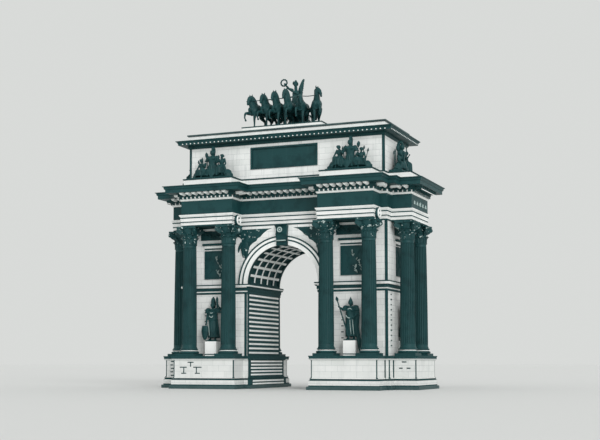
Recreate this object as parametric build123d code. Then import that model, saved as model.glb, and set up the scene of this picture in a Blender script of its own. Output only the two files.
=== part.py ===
"""Triumphal arch: two masonry pylons on podiums, joined by a coffered barrel vault.

Paired Corinthian columns of cast iron stand free of every face and carry an entablature that breaks
forward over each pair. Above it are the attic with its trophies and a chariot group on a plinth.
Millimetres, +Z up, origin on the ground at the middle of the plan, front towards -Y.
"""

import math
import os
from collections import namedtuple

from build123d import *

# ---- plan -------------------------------------------------------------------------------------
PASSAGE_WIDTH = 7000
PYLON_WIDTH = 6500
WALL_DEPTH = 7600
COLUMN_GAP = 4000  # between the axes of a pair
PAIR_SHIFT = 50  # from the middle of a pylon out to the middle of its front pair
FRONT_STANDOFF = 1400  # from the long walls to the axes of the columns
END_STANDOFF = 1350  # from the end walls to the axes of the columns

# ---- heights above the ground -----------------------------------------------------------------
STEP_TOP = 300
PODIUM_TOP = 3000
IMPOST_BOTTOM = 8750
IMPOST_TOP = 9650
COLUMN_HEIGHT = 12000
ARCHITRAVE_HEIGHT = 1100
FRIEZE_HEIGHT = 1290
BED_HEIGHT = 170
DENTIL_HEIGHT = 240
MODILLION_HEIGHT = 280
CORONA_HEIGHT = 330
CYMA_HEIGHT = 300
ATTIC_PLINTH_HEIGHT = 800
ATTIC_WALL_HEIGHT = 3200
ATTIC_CORNICE_HEIGHT = 700
BLOCKING_HEIGHT = 500
COPING_HEIGHT = 160
CHARIOT_PLINTH_HEIGHT = 560

# ---- columns ----------------------------------------------------------------------------------
SHAFT_FOOT_RADIUS = 700
SHAFT_NECK_RADIUS = 610
ENTASIS = 14
BASE_HEIGHT = 720
BASE_PLINTH = 1900
CAPITAL_HEIGHT = 1600
ABACUS_WIDTH = 1860
ABACUS_THICKNESS = 190
FLUTES = 24
FLUTE_RADIUS = 68

# ---- entablature ------------------------------------------------------------------------------
FACING = 160  # how far the iron and stone facings reach in front of the core
BODY_MARGIN = 50  # how far the architrave stands out from the walls
DENTIL_PITCH = 420
DENTIL_WIDTH = 250
DENTIL_PROJECTION = 150
DENTIL_BAND_OFFSET = 90
MODILLION_PITCH = 880
MODILLION_WIDTH = 330
MODILLION_BAND_OFFSET = 260
MODILLION_PROJECTION = 720
CORONA_OFFSET = 1120

# ---- podiums ----------------------------------------------------------------------------------
PODIUM_MARGIN = BASE_PLINTH / 2 + 100
WALL_MARGIN = 300
STEP_OFFSET = 330
PODIUM_CAP = 400

# ---- vault ------------------------------------------------------------------------------------
LINING_THICKNESS = 400
COFFER_ROWS = 13
COFFER_COLUMNS = 5
COFFER_DEPTH = 170
RIB_WIDTH = 230
ARCHIVOLT_WIDTH = 850
ARCHIVOLT_PROJECTION = 160
ARCH_LEG = 1100  # masonry each side of the vault that the spandrel wall keeps
KEYSTONE_WIDTH = 1160
SPANDREL_RELIEF_THICKNESS = 150

# ---- attic ------------------------------------------------------------------------------------
ATTIC_FRONT_SETBACK = 300  # from the long walls of the pylons
ATTIC_END_SETBACK = 300  # from their end walls
ATTIC_WALL_THICKNESS = 800
PANEL_WIDTH = 6700
PANEL_HEIGHT = 2050
PANEL_SINK = 150
ATTIC_BLOCK_SETBACK = 150
BLOCKING_THICKNESS = 700
BLOCKING_OFFSET = 100
COPING_OFFSET = 240
ROOF_RISE = 80
STRIP_WIDTH = 170
STRIP_THICKNESS = 45
CHARIOT_X = -300
CHARIOT_PLINTH_Y = -450
CHARIOT_PLINTH_WIDTH = 8000
CHARIOT_PLINTH_SETBACK = 550  # how much shallower than the attic, on each side

# ---- sculpture --------------------------------------------------------------------------------
WARRIOR_PEDESTAL = (1150, 1000, 1350)
RELIEF_WIDTH = 2200
RELIEF_HEIGHT = 2650
RELIEF_BOTTOM = 10190
RELIEF_THICKNESS = 130
HOOD_GAP = 100
HOOD_HEIGHT = 600
HOOD_SEAT = 60  # how deep the hood is built into the wall
GARLAND_PANEL = (3000, 1150)
GARLAND_THICKNESS = 110
TROPHY_CLEARANCE = 1000  # from the attic walls to the middle of a group
HORSES = 6
HORSE_SPACING = 1240
HORSE_SCALE = 1.2
HORSE_FAN = 10  # degrees between neighbours
HORSE_Y = -1350
CHARIOT_Y = 1000
CAR_RADIUS = 850
CAR_FLOOR = 950
VICTORY_X = -280  # from the middle of the car
WING_TURN = 50  # degrees that the wings are folded back
WHEEL_RADIUS = 850
LIMB_SIDES = 8

# ---- worked out -------------------------------------------------------------------------------
HALF_PASSAGE = PASSAGE_WIDTH / 2
HALF_DEPTH = WALL_DEPTH / 2
BODY_HALF_X = HALF_PASSAGE + PYLON_WIDTH
PYLON_X = HALF_PASSAGE + PYLON_WIDTH / 2
FRONT_PAIR_X = PYLON_X + PAIR_SHIFT
FRONT_COLUMN_Y = HALF_DEPTH + FRONT_STANDOFF
END_COLUMN_X = BODY_HALF_X + END_STANDOFF
END_COLUMN_Y = COLUMN_GAP / 2
ATTIC_WIDTH = 2 * (BODY_HALF_X - ATTIC_END_SETBACK)
ATTIC_DEPTH = WALL_DEPTH - 2 * ATTIC_FRONT_SETBACK
VAULT_RADIUS = HALF_PASSAGE
LINING_RADIUS = VAULT_RADIUS + LINING_THICKNESS
LEG_X = LINING_RADIUS + ARCH_LEG - LINING_THICKNESS
COLUMN_TOP = PODIUM_TOP + COLUMN_HEIGHT
KEYSTONE_BOTTOM = IMPOST_TOP + VAULT_RADIUS - 60
KEYSTONE_TOP = COLUMN_TOP - 60
ARCHITRAVE_TOP = COLUMN_TOP + ARCHITRAVE_HEIGHT
FRIEZE_TOP = ARCHITRAVE_TOP + FRIEZE_HEIGHT
BED_TOP = FRIEZE_TOP + BED_HEIGHT
DENTIL_TOP = BED_TOP + DENTIL_HEIGHT
MODILLION_TOP = DENTIL_TOP + MODILLION_HEIGHT
CORNICE_TOP = MODILLION_TOP + CORONA_HEIGHT + CYMA_HEIGHT
ATTIC_PLINTH_TOP = CORNICE_TOP + ATTIC_PLINTH_HEIGHT
ATTIC_WALL_TOP = ATTIC_PLINTH_TOP + ATTIC_WALL_HEIGHT
ATTIC_CORNICE_TOP = ATTIC_WALL_TOP + ATTIC_CORNICE_HEIGHT
BLOCKING_TOP = ATTIC_CORNICE_TOP + BLOCKING_HEIGHT
ROOF_EDGE_TOP = BLOCKING_TOP + COPING_HEIGHT
CHARIOT_FLOOR = BLOCKING_TOP + CHARIOT_PLINTH_HEIGHT
PANEL_MIDDLE = ATTIC_PLINTH_TOP + 870 + PANEL_HEIGHT / 2
ENTABLATURE_MARGIN = SHAFT_NECK_RADIUS
FAR = 40000  # longer than the arch, for extruding right through it

Block = namedtuple("Block", "x y half_x half_y")
PLINTH_HALF_DEPTH = ATTIC_DEPTH / 2 - CHARIOT_PLINTH_SETBACK
CHARIOT_PLINTH = Block(CHARIOT_X, CHARIOT_PLINTH_Y, CHARIOT_PLINTH_WIDTH / 2, PLINTH_HALF_DEPTH)


def place_for_columns(margin):
    """Plan blocks over the front and back pairs and over the end pairs, margin beyond the axes."""
    reach = COLUMN_GAP / 2 + margin
    return [
        Block(-FRONT_PAIR_X, 0, reach, FRONT_COLUMN_Y + margin),
        Block(FRONT_PAIR_X, 0, reach, FRONT_COLUMN_Y + margin),
        Block(0, 0, END_COLUMN_X + margin, END_COLUMN_Y + margin),
    ]


WALL_PLAN = [Block(0, 0, BODY_HALF_X + BODY_MARGIN, HALF_DEPTH + BODY_MARGIN)]
ENTABLATURE_PLAN = WALL_PLAN + place_for_columns(ENTABLATURE_MARGIN)
ATTIC_PLAN = [Block(0, 0, ATTIC_WIDTH / 2, ATTIC_DEPTH / 2)]


# ---- mouldings --------------------------------------------------------------------------------
def half_outline(section, reach):
    """Outer edges of a moulding. A step is (offset, height) or (offset, height, sagitta of its arc)."""
    points = [(reach + step[0], step[1]) for step in section]
    edges = []
    for start, end, step in zip(points, points[1:], section[1:]):
        if len(step) > 2:
            edges.append(SagittaArc(start, end, step[2]))
        else:
            edges.append(Line(start, end))
    return edges, points[0], points[-1]


def section_face(section, reach):
    """The whole section, from the moulding on the left to the one on the right."""
    edges, bottom, top = half_outline(section, reach)
    mirrored = [mirror(edge, about=Plane.YZ) for edge in edges]
    flat = [
        Line((-bottom[0], bottom[1]), bottom),
        Line((-top[0], top[1]), top),
    ]
    return make_face(edges + mirrored + flat)


def moulded_block(section, block):
    """A rectangular block with its moulding mitred round all four corners."""
    across = extrude(Plane.XZ * section_face(section, block.half_x), amount=FAR, both=True)
    along = extrude(Plane.YZ * section_face(section, block.half_y), amount=FAR, both=True)
    return Pos(block.x, block.y, 0) * (across & along)


def course(section, plan):
    """One moulded course over a plan of overlapping blocks."""
    blocks = [moulded_block(section, block) for block in plan]
    return blocks[0].fuse(*blocks[1:]).clean() if len(blocks) > 1 else blocks[0]


def slab(plan, low, high, offset=0):
    return course([(offset, low), (offset, high)], plan)


def four_ways(solid):
    """The solid and its mirror images in the front-to-back and the end-to-end middle planes."""
    right = [solid, mirror(solid, about=Plane.XZ)]
    return right + [mirror(piece, about=Plane.YZ) for piece in right]


def both_ends(solid):
    return [solid, mirror(solid, about=Plane.YZ)]


def front_and_back(solid):
    return [solid, mirror(solid, about=Plane.XZ)]


# ---- podiums ----------------------------------------------------------------------------------
def podium_plan():
    """Plan of the right podium's die: the pylon's foot and a block under each pair of columns."""
    reach = COLUMN_GAP / 2 + PODIUM_MARGIN
    end = END_COLUMN_X + PODIUM_MARGIN
    return [
        Block(PYLON_X, 0, PYLON_WIDTH / 2 + WALL_MARGIN, HALF_DEPTH + WALL_MARGIN),
        Block(FRONT_PAIR_X, 0, reach, FRONT_COLUMN_Y + PODIUM_MARGIN),
        Block((PYLON_X + end) / 2, 0, (end - PYLON_X) / 2, END_COLUMN_Y + PODIUM_MARGIN),
    ]


def base_step():
    section = [(STEP_OFFSET, 0), (STEP_OFFSET, STEP_TOP - 40), (STEP_OFFSET - 40, STEP_TOP)]
    return course(section, podium_plan())


def podium():
    cap = PODIUM_TOP - PODIUM_CAP
    section = [
        (180, STEP_TOP),
        (180, STEP_TOP + 520),
        (150, STEP_TOP + 670, 80),
        (60, STEP_TOP + 700),
        (0, STEP_TOP + 790, -26),
        (0, cap),
        (60, cap + 20),
        (150, cap + 130, -30),
        (150, cap + 290),
        (190, cap + 310),
        (190, PODIUM_TOP),
    ]
    return course(section, podium_plan())


# ---- pylons and vault -------------------------------------------------------------------------
def pylon_wall():
    return slab([Block(PYLON_X, 0, PYLON_WIDTH / 2, HALF_DEPTH)], PODIUM_TOP, IMPOST_BOTTOM)


def impost_band():
    low = IMPOST_BOTTOM
    section = [
        (60, low),
        (60, low + 260),
        (110, low + 280),
        (110, low + 520),
        (130, low + 540),
        (270, low + 700, -40),
        (290, low + 710),
        (290, IMPOST_TOP),
    ]
    return course(section, [Block(PYLON_X, 0, PYLON_WIDTH / 2, HALF_DEPTH)])


def hood():
    """Small cornice that shelters a relief panel, facing -Y, its back just inside the wall."""
    low = RELIEF_BOTTOM + RELIEF_HEIGHT + HOOD_GAP
    section = [
        (0, low),
        (70, low + 20),
        (70, low + 150, 30),
        (40, low + 170),
        (40, low + 340),
        (90, low + 350),
        (210, low + 520, -40),
        (210, low + HOOD_HEIGHT),
    ]
    depth = HOOD_SEAT
    block = moulded_block(section, Block(0, 0, RELIEF_WIDTH / 2, depth))
    return block & Pos(0, -FAR / 2, 0) * Box(FAR, FAR, FAR)


def upper_wall():
    """Wall beside the vault, with a hood over the relief of each outer face."""
    half = (BODY_HALF_X - LEG_X) / 2
    wall = slab([Block(LEG_X + half, 0, half, HALF_DEPTH)], IMPOST_TOP, COLUMN_TOP)
    shelter = hood()
    front = Pos(FRONT_PAIR_X, HOOD_SEAT - HALF_DEPTH, 0) * shelter
    end = Pos(BODY_HALF_X - HOOD_SEAT, 0, 0) * Rot(0, 0, 90) * shelter
    return wall.fuse(front, mirror(front, about=Plane.XZ), end).clean()


def half_ring(inner, outer, low_y, high_y):
    """An upright half ring over the passage, springing from the imposts."""
    arch = Circle(outer) - Circle(inner)
    arch &= Pos(0, outer) * Rectangle(4 * outer, 2 * outer)
    return Pos(0, high_y, IMPOST_TOP) * extrude(Plane.XZ * arch, amount=high_y - low_y)


def spandrel_wall():
    wall = slab([Block(0, 0, LEG_X, HALF_DEPTH)], IMPOST_TOP, COLUMN_TOP)
    opening = Pos(0, 0, IMPOST_TOP) * (Rot(90, 0, 0) * Cylinder(LINING_RADIUS, 2 * WALL_DEPTH))
    return wall - opening


def coffer_cutter(width, depth, arc_degrees):
    """One stepped coffer, cut outwards from the vault's face, in place at the right springing."""
    arc = Circle(VAULT_RADIUS + depth) - Circle(VAULT_RADIUS - 50)
    ring = extrude(Plane.XZ * arc, amount=width / 2, both=True)
    reach = 2 * VAULT_RADIUS
    half = math.radians(arc_degrees / 2)
    wedge = Polygon((0, 0), (reach, -reach * math.tan(half)), (reach, reach * math.tan(half)), align=None)
    return ring & extrude(Plane.XZ * wedge, amount=width, both=True)


def coffered_vault():
    """Barrel vault lining with rows of stepped coffers between ribs."""
    lining = half_ring(VAULT_RADIUS, LINING_RADIUS, -HALF_DEPTH, HALF_DEPTH)
    row_pitch = 180 / COFFER_ROWS
    column_pitch = (WALL_DEPTH - RIB_WIDTH) / COFFER_COLUMNS
    rib_degrees = math.degrees(RIB_WIDTH / VAULT_RADIUS)
    steps = [(0, COFFER_DEPTH / 2), (110, COFFER_DEPTH)]
    cutters = []
    for inset, depth in steps:
        arc = row_pitch - rib_degrees - 2 * math.degrees(inset / VAULT_RADIUS)
        cutter = coffer_cutter(column_pitch - RIB_WIDTH - 2 * inset, depth, arc)
        for row in range(COFFER_ROWS):
            turned = Rot(0, -(row + 0.5) * row_pitch, 0) * cutter
            for column in range(COFFER_COLUMNS):
                y = (column - (COFFER_COLUMNS - 1) / 2) * column_pitch
                cutters.append(Pos(0, y, IMPOST_TOP) * turned)
    return lining.cut(*cutters)


def archivolt():
    """Front archivolt: two fasciae and a crown moulding, turned about the springing line."""
    inner = VAULT_RADIUS
    outer = VAULT_RADIUS + ARCHIVOLT_WIDTH
    face = -HALF_DEPTH
    out = face - ARCHIVOLT_PROJECTION
    section = make_face(
        [
            Line((inner, face), (inner, out + 80)),
            Line((inner, out + 80), (inner + 300, out + 80)),
            Line((inner + 300, out + 80), (inner + 300, out + 45)),
            Line((inner + 300, out + 45), (outer - 200, out + 45)),
            SagittaArc((outer - 200, out + 45), (outer - 80, out - 60), 30),
            Line((outer - 80, out - 60), (outer, out - 60)),
            Line((outer, out - 60), (outer, face)),
            Line((outer, face), (inner, face)),
        ]
    )
    ring = revolve(section, axis=Axis.Y, revolution_arc=180)
    if ring.bounding_box().min.Z < -1:
        ring = mirror(ring, about=Plane.XY)
    crown_gap = Box(KEYSTONE_WIDTH, WALL_DEPTH, FAR)
    return Pos(0, 0, IMPOST_TOP) * ring - Pos(0, -HALF_DEPTH, 0) * crown_gap


def keystone():
    """Console keystone with a scroll above and a smaller one below, tapered like a voussoir."""
    face = -HALF_DEPTH
    middle = (KEYSTONE_BOTTOM + KEYSTONE_TOP) / 2
    side = make_face(
        [
            Line((face, KEYSTONE_BOTTOM), (face, KEYSTONE_TOP)),
            Line((face, KEYSTONE_TOP), (face - 700, KEYSTONE_TOP)),
            SagittaArc((face - 700, KEYSTONE_TOP), (face - 430, middle + 100), 300),
            SagittaArc((face - 430, middle + 100), (face - 360, KEYSTONE_BOTTOM + 60), 120),
            Line((face - 360, KEYSTONE_BOTTOM + 60), (face - 300, KEYSTONE_BOTTOM)),
            Line((face - 300, KEYSTONE_BOTTOM), (face, KEYSTONE_BOTTOM)),
        ]
    )
    body = extrude(Plane.YZ * side, amount=KEYSTONE_WIDTH, both=True)
    splay = (KEYSTONE_TOP - KEYSTONE_BOTTOM) * 0.05
    half = KEYSTONE_WIDTH / 2
    front = Polygon(
        (-half + splay, KEYSTONE_BOTTOM),
        (half - splay, KEYSTONE_BOTTOM),
        (half, KEYSTONE_TOP),
        (-half, KEYSTONE_TOP),
        align=None,
    )
    return body & extrude(Plane.XZ * front, amount=WALL_DEPTH, both=True)


# ---- columns ----------------------------------------------------------------------------------
def column_base():
    """Attic base: square plinth, torus, scotia, torus and fillet."""
    foot = SHAFT_FOOT_RADIUS
    lower, upper = 225, 430
    plinth = Pos(0, 0, lower / 2) * Box(BASE_PLINTH, BASE_PLINTH, lower)
    profile = make_face(
        [
            Line((0, lower), (foot + 130, lower)),
            SagittaArc((foot + 130, lower), (foot + 130, upper), -95),
            Line((foot + 130, upper), (foot + 110, upper)),
            SagittaArc((foot + 110, upper), (foot + 70, upper + 110), 35),
            Line((foot + 70, upper + 110), (foot + 80, upper + 110)),
            SagittaArc((foot + 80, upper + 110), (foot + 80, upper + 240), -60),
            Line((foot + 80, upper + 240), (foot + 50, upper + 240)),
            Line((foot + 50, upper + 240), (foot + 50, BASE_HEIGHT)),
            Line((foot + 50, BASE_HEIGHT), (0, BASE_HEIGHT)),
            Line((0, BASE_HEIGHT), (0, lower)),
        ]
    )
    return plinth + revolve(Plane.XZ * profile, axis=Axis.Z)


def column_shaft():
    """Shaft with entasis and apophyges, and flutes with round ends."""
    low = BASE_HEIGHT
    high = COLUMN_HEIGHT - CAPITAL_HEIGHT
    foot, neck = SHAFT_FOOT_RADIUS, SHAFT_NECK_RADIUS
    curve = 45
    profile = make_face(
        [
            Line((0, low), (foot + curve, low)),
            Line((foot + curve, low), (foot + curve, low + 60)),
            SagittaArc((foot + curve, low + 60), (foot, low + 60 + 2 * curve), 12),
            SagittaArc((foot, low + 60 + 2 * curve), (neck, high - 180), -ENTASIS),
            SagittaArc((neck, high - 180), (neck + 35, high - 110), 8),
            SagittaArc((neck + 35, high - 110), (neck + 35, high), -45),
            Line((neck + 35, high), (0, high)),
            Line((0, high), (0, low)),
        ]
    )
    shaft = revolve(Plane.XZ * profile, axis=Axis.Z)
    bottom, top = low + 380, high - 420
    lean = Plane(origin=(foot - 4, 0, bottom), z_dir=(neck - foot, 0, top - bottom))
    length = math.hypot(neck - foot, top - bottom)
    bulge = FLUTE_RADIUS * (1 - math.sqrt(0.5))
    outline = make_face(
        [
            SagittaArc((0, -FLUTE_RADIUS), (FLUTE_RADIUS, 0), -bulge),
            Line((FLUTE_RADIUS, 0), (FLUTE_RADIUS, length)),
            SagittaArc((FLUTE_RADIUS, length), (0, length + FLUTE_RADIUS), -bulge),
            Line((0, length + FLUTE_RADIUS), (0, -FLUTE_RADIUS)),
        ]
    )
    flute = lean.location * revolve(Plane.XZ * outline, axis=Axis.Z)
    turns = [Rot(0, 0, (turn + 0.5) * 360 / FLUTES) * flute for turn in range(FLUTES)]
    return shaft.cut(*turns)


def acanthus_leaf(radius, low, height, width, curl):
    """One leaf that hugs the bell and curls out at its tip, on the +X side of the capital."""
    high = low + height
    bend = low + 0.55 * height
    lip = high - 0.13 * height
    plate = make_face(
        [
            Line((radius - 60, low), (radius - 40, bend)),
            SagittaArc((radius - 40, bend), (radius + curl, high), 0.07 * height),
            Line((radius + curl, high), (radius + curl + 70, lip)),
            SagittaArc((radius + curl + 70, lip), (radius + 60, bend), -0.06 * height),
            Line((radius + 60, bend), (radius + 40, low)),
            Line((radius + 40, low), (radius - 60, low)),
        ]
    )
    half = width / 2
    shoulder = low + 0.7 * height
    blade = make_face(
        [
            Line((-half, low - 10), (half, low - 10)),
            Line((half, low - 10), (half * 1.06, shoulder)),
            SagittaArc((half * 1.06, shoulder), (0, high + 10), -0.28 * half),
            SagittaArc((0, high + 10), (-half * 1.06, shoulder), -0.28 * half),
            Line((-half * 1.06, shoulder), (-half, low - 10)),
        ]
    )
    return extrude(Plane.XZ * plate, amount=width, both=True) & extrude(Plane.YZ * blade, amount=FAR)


def corner_volute(radius, top):
    """A scroll that grows from the bell and carries one horn of the abacus, on the +X side."""
    eye = (ABACUS_WIDTH * 0.62, top - 190)
    stem = make_face(
        [
            Line((radius - 60, top - 620), (radius + 60, top - 620)),
            SagittaArc((radius + 60, top - 620), (eye[0] + 20, top - 330), -70),
            Line((eye[0] + 20, top - 330), (eye[0] + 20, top)),
            Line((eye[0] + 20, top), (radius - 60, top)),
            Line((radius - 60, top), (radius - 60, top - 620)),
        ]
    )
    scroll = Pos(*eye) * Circle(190)
    flat = extrude(Plane.XZ * (stem + scroll), amount=85, both=True)
    boss = extrude(Plane.XZ * (Pos(*eye) * Circle(75)), amount=125, both=True)
    return flat + boss


def corinthian_capital():
    """Bell, two rings of leaves, corner scrolls and an abacus with hollow sides."""
    neck = SHAFT_NECK_RADIUS
    top = CAPITAL_HEIGHT - ABACUS_THICKNESS
    bell = Polygon(
        (0, 0),
        (neck, 0),
        (neck + 20, top * 0.5),
        (neck + 150, top - 70),
        (neck + 150, top),
        (0, top),
        align=None,
    )
    capital = revolve(Plane.XZ * bell, axis=Axis.Z)
    lower = acanthus_leaf(neck - 20, 0, 620, 440, 190)
    upper = acanthus_leaf(neck - 5, 0, 1050, 430, 230)
    leaves = [Rot(0, 0, turn * 45) * lower for turn in range(8)]
    leaves += [Rot(0, 0, turn * 45 + 22.5) * upper for turn in range(8)]
    scrolls = [Rot(0, 0, 45 + turn * 90) * corner_volute(neck, top) for turn in range(4)]
    half = ABACUS_WIDTH / 2
    hollow, chord = 150, half - 110
    radius = (chord**2 + hollow**2) / (2 * hollow)
    slab_outline = Rectangle(ABACUS_WIDTH, ABACUS_WIDTH)
    for turn in range(4):
        slab_outline -= Rot(0, 0, turn * 90) * Pos(half - hollow + radius, 0) * Circle(radius)
    abacus = Pos(0, 0, top) * extrude(slab_outline, amount=ABACUS_THICKNESS)
    fleuron = Pos(half - hollow - 10, 0, top + ABACUS_THICKNESS / 2) * Sphere(120)
    fleuron &= Pos(0, 0, top + ABACUS_THICKNESS / 2) * Box(FAR, FAR, ABACUS_THICKNESS)
    flowers = [Rot(0, 0, turn * 90) * fleuron for turn in range(4)]
    return capital.fuse(*leaves, *scrolls, abacus, *flowers)


def column_places():
    """Axes of the front, back and end columns."""
    xs = [FRONT_PAIR_X - COLUMN_GAP / 2, FRONT_PAIR_X + COLUMN_GAP / 2]
    across = [-x for x in reversed(xs)] + xs
    return {
        "front": [(x, -FRONT_COLUMN_Y) for x in across],
        "back": [(x, FRONT_COLUMN_Y) for x in across],
        "left": [(-END_COLUMN_X, -END_COLUMN_Y), (-END_COLUMN_X, END_COLUMN_Y)],
        "right": [(END_COLUMN_X, -END_COLUMN_Y), (END_COLUMN_X, END_COLUMN_Y)],
    }


# ---- entablature ------------------------------------------------------------------------------
def entablature_core():
    return slab(ENTABLATURE_PLAN, ARCHITRAVE_TOP, CORNICE_TOP, -FACING)


def facing(section):
    """A moulded ring in front of the core."""
    low, high = section[0][1], section[-1][1]
    return course(section, ENTABLATURE_PLAN) - slab(ENTABLATURE_PLAN, low - 10, high + 10, -FACING)


def architrave():
    low = COLUMN_TOP
    section = [
        (0, low),
        (0, low + 300),
        (35, low + 310),
        (35, low + 640),
        (70, low + 650),
        (70, ARCHITRAVE_TOP - 170),
        (150, ARCHITRAVE_TOP - 60, -25),
        (170, ARCHITRAVE_TOP - 55),
        (170, ARCHITRAVE_TOP),
    ]
    return course(section, ENTABLATURE_PLAN)


def frieze():
    return facing([(0, ARCHITRAVE_TOP), (0, FRIEZE_TOP)])


def perimeter_runs(offset):
    """Straight runs of the entablature's outline as (x, y, outward turn, length), offset outwards."""
    margin = ENTABLATURE_MARGIN + offset
    front_y = FRONT_COLUMN_Y + margin
    body_x = BODY_HALF_X + BODY_MARGIN + offset
    body_y = HALF_DEPTH + BODY_MARGIN + offset
    end_x, end_y = END_COLUMN_X + margin, END_COLUMN_Y + margin
    inner = FRONT_PAIR_X - COLUMN_GAP / 2 - margin
    outer = FRONT_PAIR_X + COLUMN_GAP / 2 + margin
    quarter = [
        ((inner + outer) / 2, -front_y, 0, outer - inner),
        (inner, -(front_y + body_y) / 2, -90, front_y - body_y),
        (outer, -(front_y + body_y) / 2, 90, front_y - body_y),
        ((outer + body_x) / 2, -body_y, 0, body_x - outer),
        (body_x, -(end_y + body_y) / 2, 90, body_y - end_y),
        ((body_x + end_x) / 2, -end_y, 0, end_x - body_x),
    ]
    middle = [(0, -body_y, 0, 2 * inner), (end_x, 0, 90, 2 * end_y)]
    return quarter, middle


def repeated_round(piece, offset, pitch, width):
    """Copies of a piece that points to -Y, spaced evenly along every run of the outline."""
    quarter, middle = perimeter_runs(offset)

    def along(runs):
        placed = []
        for x, y, turn, length in runs:
            count = int((length - 2 * offset) // pitch)
            if length < width:
                continue
            count = max(count, 1)
            for index in range(count):
                shift = (index - (count - 1) / 2) * pitch
                placed.append(Pos(x, y, 0) * Rot(0, 0, turn) * Pos(shift, 0, 0) * piece)
        return placed

    pieces = [copy for solid in along(quarter) for copy in four_ways(solid)]
    pieces += [copy for solid in along(middle[:1]) for copy in front_and_back(solid)]
    pieces += [copy for solid in along(middle[1:]) for copy in both_ends(solid)]
    return pieces


def dentil_course():
    """Bed moulding with a row of dentils."""
    section = [
        (0, FRIEZE_TOP),
        (20, FRIEZE_TOP + 20),
        (DENTIL_BAND_OFFSET, BED_TOP - 30, -25),
        (DENTIL_BAND_OFFSET, DENTIL_TOP),
    ]
    height = DENTIL_HEIGHT - 50
    middle = Pos(0, -DENTIL_PROJECTION / 2, BED_TOP + height / 2 + 20)
    tooth = middle * Box(DENTIL_WIDTH, DENTIL_PROJECTION, height)
    teeth = repeated_round(tooth, DENTIL_BAND_OFFSET, DENTIL_PITCH, DENTIL_WIDTH)
    return facing(section).fuse(*teeth)


def modillion():
    """A bracket that carries the corona, scrolled at its outer end."""
    low, high = DENTIL_TOP + 30, MODILLION_TOP
    out = -MODILLION_PROJECTION
    side = make_face(
        [
            Line((0, high), (0, low)),
            SagittaArc((0, low), (out * 0.55, low + 110), 45),
            SagittaArc((out * 0.55, low + 110), (out, high - 60), -50),
            Line((out, high - 60), (out, high)),
            Line((out, high), (0, high)),
        ]
    )
    return extrude(Plane.YZ * side, amount=MODILLION_WIDTH / 2, both=True)


def modillion_course():
    section = [
        (MODILLION_BAND_OFFSET - 60, DENTIL_TOP),
        (MODILLION_BAND_OFFSET, DENTIL_TOP + 50, -15),
        (MODILLION_BAND_OFFSET, MODILLION_TOP),
    ]
    brackets = repeated_round(modillion(), MODILLION_BAND_OFFSET, MODILLION_PITCH, MODILLION_WIDTH)
    return facing(section).fuse(*brackets)


def cornice_crown():
    """Corona and cyma recta."""
    low = MODILLION_TOP
    corona = low + CORONA_HEIGHT
    section = [
        (CORONA_OFFSET, low),
        (CORONA_OFFSET, corona - 30),
        (CORONA_OFFSET + 30, corona),
        (CORONA_OFFSET + 100, corona + CYMA_HEIGHT * 0.45, -30),
        (CORONA_OFFSET + 200, CORNICE_TOP - 60, 30),
        (CORONA_OFFSET + 215, CORNICE_TOP - 60),
        (CORONA_OFFSET + 215, CORNICE_TOP),
    ]
    return facing(section)


# ---- attic ------------------------------------------------------------------------------------
def attic_plinth():
    low, high = CORNICE_TOP, ATTIC_PLINTH_TOP
    section = [
        (60, low),
        (60, low + 160),
        (0, low + 210, -18),
        (0, high - 150),
        (40, high - 90, -14),
        (70, high - 80),
        (70, high),
    ]
    return course(section, ATTIC_PLAN + place_for_columns(ENTABLATURE_MARGIN - ATTIC_BLOCK_SETBACK))


def attic_long_wall():
    """Front wall of the attic chamber, with a sunk panel."""
    length = ATTIC_WIDTH
    y = -(ATTIC_DEPTH - ATTIC_WALL_THICKNESS) / 2
    wall = slab([Block(0, y, length / 2, ATTIC_WALL_THICKNESS / 2)], ATTIC_PLINTH_TOP, ATTIC_WALL_TOP)
    recess = Box(PANEL_WIDTH, 2 * PANEL_SINK, PANEL_HEIGHT)
    return wall - Pos(0, -ATTIC_DEPTH / 2, PANEL_MIDDLE) * recess


def attic_end_wall():
    x = (ATTIC_WIDTH - ATTIC_WALL_THICKNESS) / 2
    half = ATTIC_DEPTH / 2 - ATTIC_WALL_THICKNESS
    return slab([Block(x, 0, ATTIC_WALL_THICKNESS / 2, half)], ATTIC_PLINTH_TOP, ATTIC_WALL_TOP)


def inscription_panel():
    """Bare iron plate with a raised border, seated in the attic wall's recess."""
    face = -ATTIC_DEPTH / 2
    plate = Pos(0, face + PANEL_SINK - 40, PANEL_MIDDLE) * Box(PANEL_WIDTH, 80, PANEL_HEIGHT)
    rim = Rectangle(PANEL_WIDTH, PANEL_HEIGHT) - Rectangle(PANEL_WIDTH - 300, PANEL_HEIGHT - 300)
    border = Pos(0, face + PANEL_SINK - 80, PANEL_MIDDLE) * extrude(Plane.XZ * rim, amount=PANEL_SINK)
    return plate + border


def attic_cornice():
    low, high = ATTIC_WALL_TOP, ATTIC_CORNICE_TOP
    section = [
        (0, low),
        (30, low + 20),
        (150, low + 130, -25),
        (170, low + 130),
        (170, low + 300),
        (880, low + 310),
        (880, low + 470),
        (920, low + 490),
        (1050, high - 60, 24),
        (1070, high - 60),
        (1070, high),
    ]
    chamber = slab(ATTIC_PLAN, low - 10, high + 10, -ATTIC_WALL_THICKNESS)
    return course(section, ATTIC_PLAN) - chamber


def blocking_course():
    inside = slab(ATTIC_PLAN, ATTIC_CORNICE_TOP - 10, BLOCKING_TOP + 10, BLOCKING_OFFSET - BLOCKING_THICKNESS)
    return slab(ATTIC_PLAN, ATTIC_CORNICE_TOP, BLOCKING_TOP, BLOCKING_OFFSET) - inside


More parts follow.
